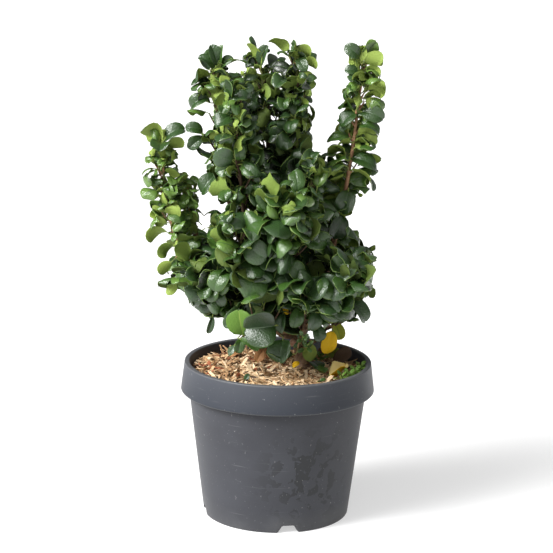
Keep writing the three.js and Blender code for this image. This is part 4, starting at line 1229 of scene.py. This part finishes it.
def grow_leaf(mass, axis, place):
    """One leaf of a mass from its node on an axis."""
    at, lean, turn = place
    dice = mass.dice
    on_stem = axis is mass.stem
    tangent = axis.tangent(at)
    node = axis.at(at)
    height = ramp(node[2], CROWN_FOOT, CROWN_HEIGHT)
    size = lerp(1.0, LEAF_TIP_SHARE, at if on_stem else lerp(TWIG_LEAF_RANK, 1.0, at))
    if on_stem and lean == LEAF_LEAN_APEX:
        size = APEX_LEAF_SHARE
    size *= mass.stem_leaf if on_stem else mass.twig_leaf
    size *= lerp(*LEAF_SIZES, height) * (1 + swing(dice, SIZE_SWING))
    radial = perpendicular(tangent, turn + swing(dice, TURN_SWING))
    lean += swing(dice, LEAN_SWING)
    aside = node[:2] - CROWN_AXIS
    outward = np.array((*aside, 0.0))
    outward = outward / (np.linalg.norm(outward) + CROWN_AXIS_BLUR)
    facing = lerp(*LEAF_FACING, height) * drawn(dice, *FACING_CHANCE)
    stray = LEAF_STRAY * dice.normal(size=3)
    along, face = leaf_frame(tangent, radial, lean, outward, facing, stray)
    # Painted shade: leaves that point into the crown or lie near its axis take darker tints, taken off the
    # mass's youth
    inner = 0.0
    if mass.name not in HABITS:
        inner = INNER_SHADE * max(0.0, -float(np.dot(along, outward)))
        inner += DEEP_SHADE * max(0.0, 1 - np.linalg.norm(aside) / DEEP_RADIUS)
    young = mass.young - inner
    top = choose_tint(LEAF_TOPS, TOP_WEIGHTS, dice, height, at, young)
    under = choose_tint(LEAF_UNDERS, UNDER_WEIGHTS, dice, height, at, young)
    recurve = lerp(*LEAF_RECURVES, height) * drawn(dice, *RECURVE_CHANCE)
    fold = lerp(*LEAF_FOLDS, height) * drawn(dice, *FOLD_CHANCE)
    if dice.random() < lerp(INCURVED_LOW, INCURVED_HIGH, height**2):
        recurve *= INCURVED_SHARE
        fold += INCURVED_FOLD
    girth = axis.radius(at)
    seat = node + along * girth * SEAT_DEPTH
    return {
        "seat": seat,
        "root": seat + along * (PETIOLE_LENGTH + girth * (1 - SEAT_DEPTH)),
        "along": along,
        "face": face,
        "length": mass.leaf * LEAF_SHARE * size,
        "width": LEAF_WIDTH * drawn(dice, *WIDTH_CHANCE),
        "recurve": recurve,
        "fold": fold,
        "curl": LEAF_CURL * drawn(dice, *CURL_CHANCE),
        "twist": swing(dice, TWIST_SWING),
        "wave": swing(dice, WAVE_SWING),
        "phase": drawn(dice, *PHASE_CHANCE),
        "top": top,
        "under": under,
        "margin": "margin" if dice.random() < LIGHT_MARGINS else "edge",
        "midrib": "midrib",
    }


def above_pot(points):
    """Whether all points are clear of the mulch and of the pot's rim."""
    radius = np.hypot(points[:, 0], points[:, 1])
    inside = radius < COLLAR_TOP_RADIUS - 2 * RIM_WIDTH
    floor = np.where(inside, MULCH_TOP + MULCH_MARGIN, POT_HEIGHT + RIM_MARGIN)
    return bool((points[:, 2] > floor).all())


def seen_at(points, depth):
    """Where points appear from the camera on upright planes at one or more depths, as X and Z."""
    eye = np.array(CAMERA_PLACE)
    reach = (depth - eye[1]) / (points[:, 1:2] - eye[1])
    x = eye[0] + (points[:, :1] - eye[0]) * reach
    z = eye[2] + (points[:, 2:] - eye[2]) * reach
    return x, z


LARGE_GAPS = [(*row, DEEPEST) for row in SKY_GAPS] + list(DEEP_GAPS)
HOLES = [(*row, DEEPEST) for row in SMALL_GAPS]


def covers_gap(points, gaps):
    """Whether points hide one of the gaps in the crown from the camera."""
    x, z = seen_at(points, 0.0)
    middle_x, middle_z, half_x, half_z, back = np.array(gaps).T
    inside = np.hypot((x - middle_x) / half_x, (z - middle_z) / half_z) < 1
    return bool((inside & (points[:, 1:2] < back)).any())


def covers_sky(points):
    """Whether points hide a large gap, or the open foot of the crown, from the camera."""
    x, z = seen_at(points, 0.0)
    at_foot = (z < FOOT_OPEN_BELOW) & (x > FOOT_OPEN[0]) & (x < FOOT_OPEN[1])
    return bool(at_foot.any()) or covers_gap(points, LARGE_GAPS)


SINGLE_LEAVES = FOOT_LEAVES + OUTER_LEAVES
SINGLE_ROOTS = np.array([row[0] for row in SINGLE_LEAVES])
SINGLE_TIPS = np.array([row[1] for row in SINGLE_LEAVES])
SINGLE_WIDTHS = np.array([max(1.0, row[3]) for row in SINGLE_LEAVES])
SINGLE_MIDDLES = 0.5 * (SINGLE_ROOTS + SINGLE_TIPS)
SINGLE_RADII = SINGLE_RADIUS * SINGLE_WIDTHS * np.linalg.norm(SINGLE_TIPS - SINGLE_ROOTS, axis=1)
SINGLE_OVERLAP = np.array([0.0] * len(FOOT_LEAVES) + [LEAF_OVERLAP] * len(OUTER_LEAVES))


def covers_single_leaf(points):
    """Whether points hide one of the leaves that are placed singly from the camera."""
    depths = SINGLE_MIDDLES[:, 1]
    x, z = seen_at(points, depths)
    near = np.hypot(x - SINGLE_MIDDLES[:, 0], z - SINGLE_MIDDLES[:, 2]) < SINGLE_RADII
    hidden = (near & (points[:, 1:2] < depths)).mean(0)
    return bool((hidden > SINGLE_OVERLAP).any())


def covers_stem(mass, points):
    """Whether points hide the bare part of a stem from the camera."""
    if mass.name not in BARE_STEMS:
        return False
    first, last = (int(share * LIMB_POINTS) for share in BARE_STEMS[mass.name])
    stem = mass.stem.points[first:last]
    x, z = seen_at(points, 0.0)
    stem_x, stem_z = seen_at(stem, 0.0)
    close = np.hypot(x - stem_x[:, 0], z - stem_z[:, 0]) < BARE_HALF_WIDTH
    return bool((close & (points[:, 1:2] < stem[:, 1])).any())


centres = np.zeros((0, 6))


def has_room(leaf, points):
    """Whether no other leaf lies at the same place and faces the same way."""
    global centres
    spot = np.concatenate([points.mean(0), leaf["face"]])
    if len(centres):
        close = np.linalg.norm(centres[:, :3] - spot[:3], axis=1) < LEAF_SPACING * leaf["length"]
        if (close & (centres[:, 3:] @ spot[3:] > LEAF_ALIKE)).any():
            return False
    centres = np.vstack([centres, spot])
    return True


def fitting_leaf(mass, axis, place):
    """A leaf that keeps to its mass, hides nothing that shows and has room, after a few tries."""
    for _ in range(LEAF_TRIES):
        leaf = grow_leaf(mass, axis, place)
        top = leaf_vertices(leaf)[0]
        points = top[PROBE_ROWS, PROBE_COLUMNS].reshape(-1, 3)
        fits = (mass.reach_share(points) < REACH_SLACK).all() and above_pot(points)
        hides = covers_sky(points) or covers_single_leaf(points) or covers_stem(mass, points)
        hides = hides or covers_gap(top.reshape(-1, 3), HOLES)
        if fits and not hides and has_room(leaf, points):
            return leaf
    return None


def grow_mass(mass, leaves, wood):
    """All leaves and twigs of a mass, added to the heaps of its part of the crown."""
    for axis in mass.axes:
        internode = mass.internode if axis is mass.stem else TWIG_INTERNODE
        grown = 0
        for place in leaf_places(axis, internode):
            leaf = fitting_leaf(mass, axis, place)
            if leaf:
                add_leaf(leaves, leaf)
                grown += 1
        if axis is mass.stem or (grown and not covers_sky(axis.points[-TWIG_END_POINTS:])):
            add_wood(wood, axis, BARK_SLOT if mass.name in HABITS else DARK_SLOT)


def add_wood(wood, axis, bark=BARK_SLOT):
    """A twig with swollen nodes and a green tip."""
    count = max(WOOD_FEWEST, int(axis.length / WOOD_STEP))
    share = np.linspace(0.0, 1.0, count)
    points = np.stack([axis.at(s) for s in share])
    nodes = np.sin(share * axis.length / WOOD_NODE_STEP) ** WOOD_NODE_POWER
    vertices, quads, ends = tube(points, axis.radius(share) * (1 + WOOD_NODE_SWELL * nodes), WOOD_SIDES)
    slots = np.repeat(np.where(share[:-1] > WOOD_GREEN_FROM, GREEN_SLOT, bark), WOOD_SIDES)
    wood.add(vertices, [(quads, slots), (ends, np.array((bark, GREEN_SLOT)))])


def placed_leaf(row):
    """A leaf that runs from a root to a tip, arched between them."""
    root, tip, face, width, arch, fold, top, under = row
    chord = np.array(tip) - np.array(root)
    length = np.linalg.norm(chord)
    chord = chord / length
    face = np.array(face)
    face = unit(face - chord * np.dot(face, chord))
    rise = arch / ARCH_POWER
    along = chord * math.cos(rise) + face * math.sin(rise)
    green = top in dict(LEAF_TOPS)
    return {
        "seat": np.array(root) - along * PLACED_SEAT,
        "root": np.array(root),
        "along": along,
        "face": face * math.cos(rise) - chord * math.sin(rise),
        "length": length * (1 + arch * arch / ARC_OVER_CHORD),
        "width": PLACED_WIDTH * width,
        "recurve": arch,
        "fold": fold,
        "curl": PLACED_CURL,
        "twist": PLACED_TWIST * math.sin(TWIST_BY_PLACE * root[0]),
        "wave": PLACED_WAVE * math.sin(WAVE_BY_PLACE * root[2]),
        "phase": PHASE_BY_PLACE * root[0],
        "top": top,
        "under": under,
        "margin": "edge" if green else top,
        "midrib": "midrib" if green else under,
    }


def single_leaves(leaves, wood, stems):
    """Leaves at the foot and the tops of the crown, each on a short twig from the nearest wood."""
    bark = np.concatenate([limb.points for limb in [*limbs.values(), *stems]])
    for row in SINGLE_LEAVES:
        leaf = placed_leaf(row)
        add_leaf(leaves, leaf)
        nearest = bark[np.linalg.norm(bark - leaf["seat"], axis=1).argmin()]
        heading = unit(leaf["seat"] - nearest)
        add_wood(wood, Limb(limb_curve(nearest, heading, leaf["seat"]), TWIG_ROOT_RADIUS, PETIOLE_RADIUS))


def small_shoot(leaves, wood, shoot, leaf_length, pairs, top, under):
    """Crosswise pairs of small leaves along the outer part of a shoot."""
    add_wood(wood, shoot)
    for k in range(pairs):
        at = lerp(SHOOT_BARE, 1.0, (k + 1) / pairs)
        tangent = shoot.tangent(at)
        lean = lerp(*SHOOT_LEANS, k / pairs)
        for half in (0.0, math.pi):
            radial = perpendicular(tangent, SHOOT_TURN + k * math.pi / 2 + half)
            heading = tangent * math.cos(lean) + radial * math.sin(lean)
            root = shoot.at(at) + heading * SHOOT_SEAT
            tip = root + heading * leaf_length * lerp(1.0, SHOOT_TIP_SHARE, k / pairs)
            face = tangent - radial * LEAF_FACE_BACK
            add_leaf(leaves, placed_leaf((root, tip, face, *SHOOT_LEAF, top, under)))


def sprigs(leaves, wood):
    for name, share, tip, leaf_length, pairs in SPRIGS:
        root = limbs[name].at(share)
        tip = np.array(tip)
        bend = 0.5 * (root + tip) - UP * SPRIG_SAG * np.linalg.norm(tip - root)
        shoot = Limb(curve_points(root, bend, tip), *SPRIG_RADII)
        small_shoot(leaves, wood, shoot, leaf_length, pairs, "fresh", "mid")


def crown():
    """The leaves, a piece for each part of the crown, and the twigs that carry them."""
    masses = {row[0]: Mass(index, row) for index, row in enumerate(MASSES)}
    wood = Heap()
    for part, names in PARTS_OF_CROWN.items():
        leaves = Heap()
        for name in names:
            grow_mass(masses[name], leaves, wood)
        if part == "front":
            single_leaves(leaves, wood, [mass.stem for mass in masses.values()])
            sprigs(leaves, wood)
        piece = leaves.piece(f"leaves_{part}", LEAF_MATERIALS)
        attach(piece, "root")
        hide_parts(*(f"{name}_leaves" for name in names))
    twigs = wood.piece("twigs", [SURFACE[name] for name in TWIG_SURFACES])
    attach(twigs, "root")


# Pot
def notch_height(turn):
    """Height of the foot's notches at an angle round the pot, where 0 is the front."""
    step = 2 * math.pi / NOTCH_COUNT
    off = (turn - NOTCH_FIRST_TURN + step / 2) % step - step / 2
    sideways = np.abs(off) * POT_FOOT_RADIUS
    slope = (NOTCH_FOOT_WIDTH - NOTCH_TOP_WIDTH) / 2
    return CHANNEL_HEIGHT * np.clip((NOTCH_FOOT_WIDTH / 2 - sideways) / slope, 0.0, 1.0)


def arc(centre, radius, start, end, count):
    turns = np.radians(np.linspace(start, end, count))
    return [(centre[0] + radius * math.cos(a), centre[1] + radius * math.sin(a)) for a in turns]


def pot_outline():
    """The pot's half section as radius and height, with rounded rims."""
    waist = POT_HEIGHT - COLLAR_HEIGHT
    slope = (POT_WAIST_RADIUS - POT_FOOT_RADIUS) / waist
    roof = POT_HEIGHT - COLLAR_ROOF
    skirt_slope = (COLLAR_FOOT_RADIUS - COLLAR_TOP_RADIUS) / COLLAR_HEIGHT
    skirt = COLLAR_TOP_RADIUS + skirt_slope * COLLAR_ROOF - POT_WALL
    well = POT_WAIST_RADIUS - POT_WALL
    ring = POT_FOOT_RADIUS - FOOT_RING_WIDTH
    hem = waist + RIM_ROUND
    lip = POT_HEIGHT - RIM_ROUND
    heights = [RIM_ROUND, *WALL_FOOT_HEIGHTS, *np.linspace(WALL_FIRST_HEIGHT, waist, WALL_RINGS)]
    return np.array([
        (POT_AXIS_GAP, 0.0),
        (PAD_RADIUS, 0.0),
        (PAD_RADIUS + CHANNEL_SLOPE, CHANNEL_HEIGHT),
        (ring - CHANNEL_SLOPE, CHANNEL_HEIGHT),
        (ring, 0.0),
        (POT_FOOT_RADIUS - RIM_ROUND, 0.0),
        (POT_FOOT_RADIUS - FOOT_EDGE[0] * RIM_ROUND, FOOT_EDGE[1] * RIM_ROUND),
        *((POT_FOOT_RADIUS + slope * z, z) for z in heights),
        (POT_WAIST_RADIUS, roof - RIM_ROUND),
        (POT_WAIST_RADIUS + RIM_ROUND, roof),
        (skirt - RIM_ROUND, roof),
        (skirt, roof - RIM_ROUND),
        (COLLAR_FOOT_RADIUS - POT_WALL, hem),
        *arc((COLLAR_FOOT_RADIUS - POT_WALL / 2, hem), POT_WALL / 2, *HEM_ARC),
        *((lerp(COLLAR_FOOT_RADIUS, COLLAR_TOP_RADIUS, s), lerp(hem, lip, s)) for s in SKIRT_SHARES),
        *arc((COLLAR_TOP_RADIUS - RIM_ROUND, lip), RIM_ROUND, *LIP_OUTER_ARC),
        *arc((COLLAR_TOP_RADIUS - RIM_WIDTH + RIM_ROUND, lip), RIM_ROUND, *LIP_INNER_ARC),
        (well, roof),
        (well, MULCH_TOP - MULCH_DEPTH),
    ])


def pot_piece():
    """The pot's outline turned about its axis, with the notches cut into its foot ring."""
    outline = pot_outline()
    turns = round_turns(POT_SEGMENTS)
    notch = notch_height(turns)[None]
    height = np.repeat(outline[:, 1:2], POT_SEGMENTS, 1)
    radius = np.repeat(outline[:, 0:1], POT_SEGMENTS, 1)
    on_ring = (radius > PAD_RADIUS + 2 * CHANNEL_SLOPE) & (height < NOTCH_FADE_HEIGHT)
    raised = notch + height * (1 - notch / NOTCH_FADE_HEIGHT)
    height = np.where(on_ring & (height < CHANNEL_HEIGHT), raised, height)
    vertices = np.stack([radius * np.sin(turns), -radius * np.cos(turns), height], 2).reshape(-1, 3)
    polygons = [ring_quads(len(outline), POT_SEGMENTS), np.arange(POT_SEGMENTS)[None, ::-1]]
    piece = mesh_piece("nursery_pot", vertices, polygons, [POT_PLASTIC])
    edges = piece.modifiers.new("edges", "EDGE_SPLIT")
    edges.split_angle = POT_EDGE_ANGLE
    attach(piece, "root")
    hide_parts("pot")


# Mulch
def bed_height(x, y):
    """Height of the mulch, which is heaped a little against the left of the pot."""
    edge = POT_WAIST_RADIUS - POT_WALL
    fall = ramp(math.hypot(x, y), MULCH_FLAT_RADIUS, edge - MULCH_FLAT_RADIUS)
    heap = max(-x - MULCH_HEAP_TURN * y, 0.0) / edge
    return MULCH_TOP - MULCH_EDGE_DROP * fall + MULCH_HEAP * heap


def bed_piece():
    """The dark, uneven bed that the wood chips lie on."""
    edge = POT_WAIST_RADIUS - POT_WALL - CLEARANCE
    turns = round_turns(BED_SIDES)
    vertices = []
    for r in np.linspace(BED_AXIS_GAP, edge, BED_RINGS):
        for a in turns:
            x = r * math.cos(a)
            y = r * math.sin(a)
            relief = sum(rise * noise.noise(Vector((x, y, z)) * scale) for rise, scale, z in BED_RELIEF)
            vertices.append((x, y, bed_height(x, y) - BED_SINK + relief))
    foot = [(edge * math.cos(a), edge * math.sin(a), MULCH_TOP - MULCH_DEPTH) for a in turns]
    polygons = [ring_quads(BED_RINGS + 1, BED_SIDES), ring_ends(BED_RINGS + 1, BED_SIDES)]
    piece = mesh_piece("mulch_bed", np.array(vertices + foot), polygons, [SURFACE["mulch_bed"]])
    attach(piece, "root")
    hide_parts("mulch")


def fallen_leaves():
    """Old leaves and small seedlings on the mulch."""
    leaves = Heap()
    stems = Heap()
    for row in FALLEN_LEAVES:
        add_leaf(leaves, placed_leaf(row))
    for x, y, height in SEEDLINGS:
        foot = np.array((x, y, bed_height(x, y) - SEEDLING_SINK))
        tip = foot + np.array((*SEEDLING_LEAN, height + SEEDLING_SINK))
        shoot = Limb(curve_points(foot, 0.5 * (foot + tip), tip), *SEEDLING_RADII)
        small_shoot(leaves, stems, shoot, SEEDLING_LEAF, SEEDLING_PAIRS, "bright", "mid")
    stem_surfaces = [SURFACE[name] for name in TWIG_SURFACES[:2]]
    heaps = (("fallen_leaves", leaves, LEAF_MATERIALS), ("seedling_stems", stems, stem_surfaces))
    for name, heap, materials in heaps:
        piece = heap.piece(name, materials)
        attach(piece, "root")


CHIP_CORNERS = np.array([(x, y, z) for x in (-1, 1) for y in (-1, 1) for z in (-1, 1)], float)
CHIP_FACES = np.array([(0, 1, 3, 2), (4, 6, 7, 5), (0, 4, 5, 1), (2, 3, 7, 6), (0, 2, 6, 4), (1, 5, 7, 3)])


def chip_shade(x, y):
    """How brown the chips are, from 0 in the pale front to 1 at the back, at the left and near the edge."""
    edge = ramp(math.hypot(x, y), *BROWN_EDGE)
    return max(ramp(y, *BROWN_BACK), BROWN_EDGE_SHARE * edge, ramp(-x, *BROWN_LEFT))


def rotation(yaw, pitch, roll):
    """Turns a piece about its length, then tips it, then turns it on the ground."""
    cz, sz = math.cos(yaw), math.sin(yaw)
    cy, sy = math.cos(pitch), math.sin(pitch)
    cx, sx = math.cos(roll), math.sin(roll)
    about_z = np.array(((cz, -sz, 0), (sz, cz, 0), (0, 0, 1)))
    about_y = np.array(((cy, 0, -sy), (0, 1, 0), (sy, 0, cy)))
    about_x = np.array(((1, 0, 0), (0, cx, -sx), (0, sx, cx)))
    return about_z @ about_y @ about_x


def chips_piece():
    """Slivers of wood, each a split, tapered block, strewn over the bed."""
    dice = np.random.default_rng(CHIP_SEED)
    heap = Heap()
    edge = POT_WAIST_RADIUS - POT_WALL
    shares, usual, by_brown = np.array([row[3:] for row in CHIP_TINTS]).T
    for _ in range(CHIP_COUNT):
        size = np.array([drawn(dice, *measure) for measure in CHIP_MEASURES])
        reach = edge - CHIP_INSET * size[0] - CHIP_EDGE_GAP
        r = reach * math.sqrt(dice.random())
        a = 2 * math.pi * dice.random()
        x = r * math.cos(a)
        y = r * math.sin(a)
        pitch = CHIP_PITCH * dice.normal()
        roll = CHIP_ROLL * dice.normal()
        turn = rotation(2 * math.pi * dice.random(), pitch, roll)
        corners = CHIP_CORNERS * (size / 2) * (1 + CHIP_UNEVEN * (dice.random(CHIP_CORNERS.shape) - 0.5))
        corners[:, 1:] *= np.where(CHIP_CORNERS[:, :1] > 0, drawn(dice, *CHIP_TAPER), 1.0)
        lift = drawn(dice, *CHIP_LIFT) + CHIP_TIP_LIFT * abs(math.sin(pitch)) * size[0]
        place = np.array((x, y, bed_height(x, y) - CHIP_SINK + lift))
        weights = shares * (usual + by_brown * chip_shade(x, y))
        tint = dice.choice(len(shares), p=weights / weights.sum())
        heap.add(corners @ turn.T + place, [(CHIP_FACES, tint)])
    piece = heap.piece("wood_chips", CHIPS, smooth=False)
    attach(piece, "root")


# Studio
def floor_piece():
    corners = np.array([(-1, -1, 0), (1, -1, 0), (1, 1, 0), (-1, 1, 0)]) * FLOOR_HALF
    made, tree, shader = shader_of("floor")
    feed(tree, shader, {
        "Base Color": (*FLOOR_COLOUR, 1.0),
        "Emission Color": WHITE,
        "Emission Strength": FLOOR_GLOW,
        "Roughness": FLOOR_ROUGHNESS,
        "Specular IOR Level": 0.0,
    })
    floor = mesh_piece("floor", corners, [np.arange(4)[None]], [made], smooth=False)


def light_lobe(tree, direction, spread, gain, others):
    """Strength of the sky, which rises over the other lights towards one direction."""
    view = tree.nodes.new("ShaderNodeTexCoord").outputs["Generated"]
    towards = compared(tree, "DOT_PRODUCT", view, Vector(direction).normalized())
    lobe = computed(tree, "POWER", computed(tree, "MAXIMUM", towards, 0.0), spread)
    return computed(tree, "MULTIPLY_ADD", lobe, gain, others)


def studio_light():
    """A white room with a large soft light at the upper left, another overhead and a weaker one behind."""
    world = bpy.data.worlds.new("studio")
    world.use_nodes = True
    tree = world.node_tree
    bpy.context.scene.world = world
    light = FILL_LIGHT
    for row in LIGHTS:
        light = light_lobe(tree, *row, light)
    feed(tree, tree.nodes["Background"], {"Color": WHITE, "Strength": light})


def camera():
    lens = bpy.data.cameras.new("camera")
    lens.lens = CAMERA_LENS
    lens.sensor_width = CAMERA_SENSOR
    lens.clip_end = CAMERA_REACH
    made = bpy.data.objects.new("camera", lens)
    made.location = CAMERA_PLACE
    made.rotation_mode = "ZYX"
    made.rotation_euler = (math.pi / 2 - CAMERA_PITCH, 0.0, CAMERA_ROLL)
    bpy.context.scene.collection.objects.link(made)
    bpy.context.scene.camera = made


camera()
floor_piece()
studio_light()
bpy.context.scene.view_settings.view_transform = "Standard"

pot_piece()
bed_piece()
chips_piece()
fallen_leaves()
limbs_piece()
crown()

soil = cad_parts["soil"]
soil.data.materials.clear()
soil.data.materials.append(SURFACE["potting_mix"])
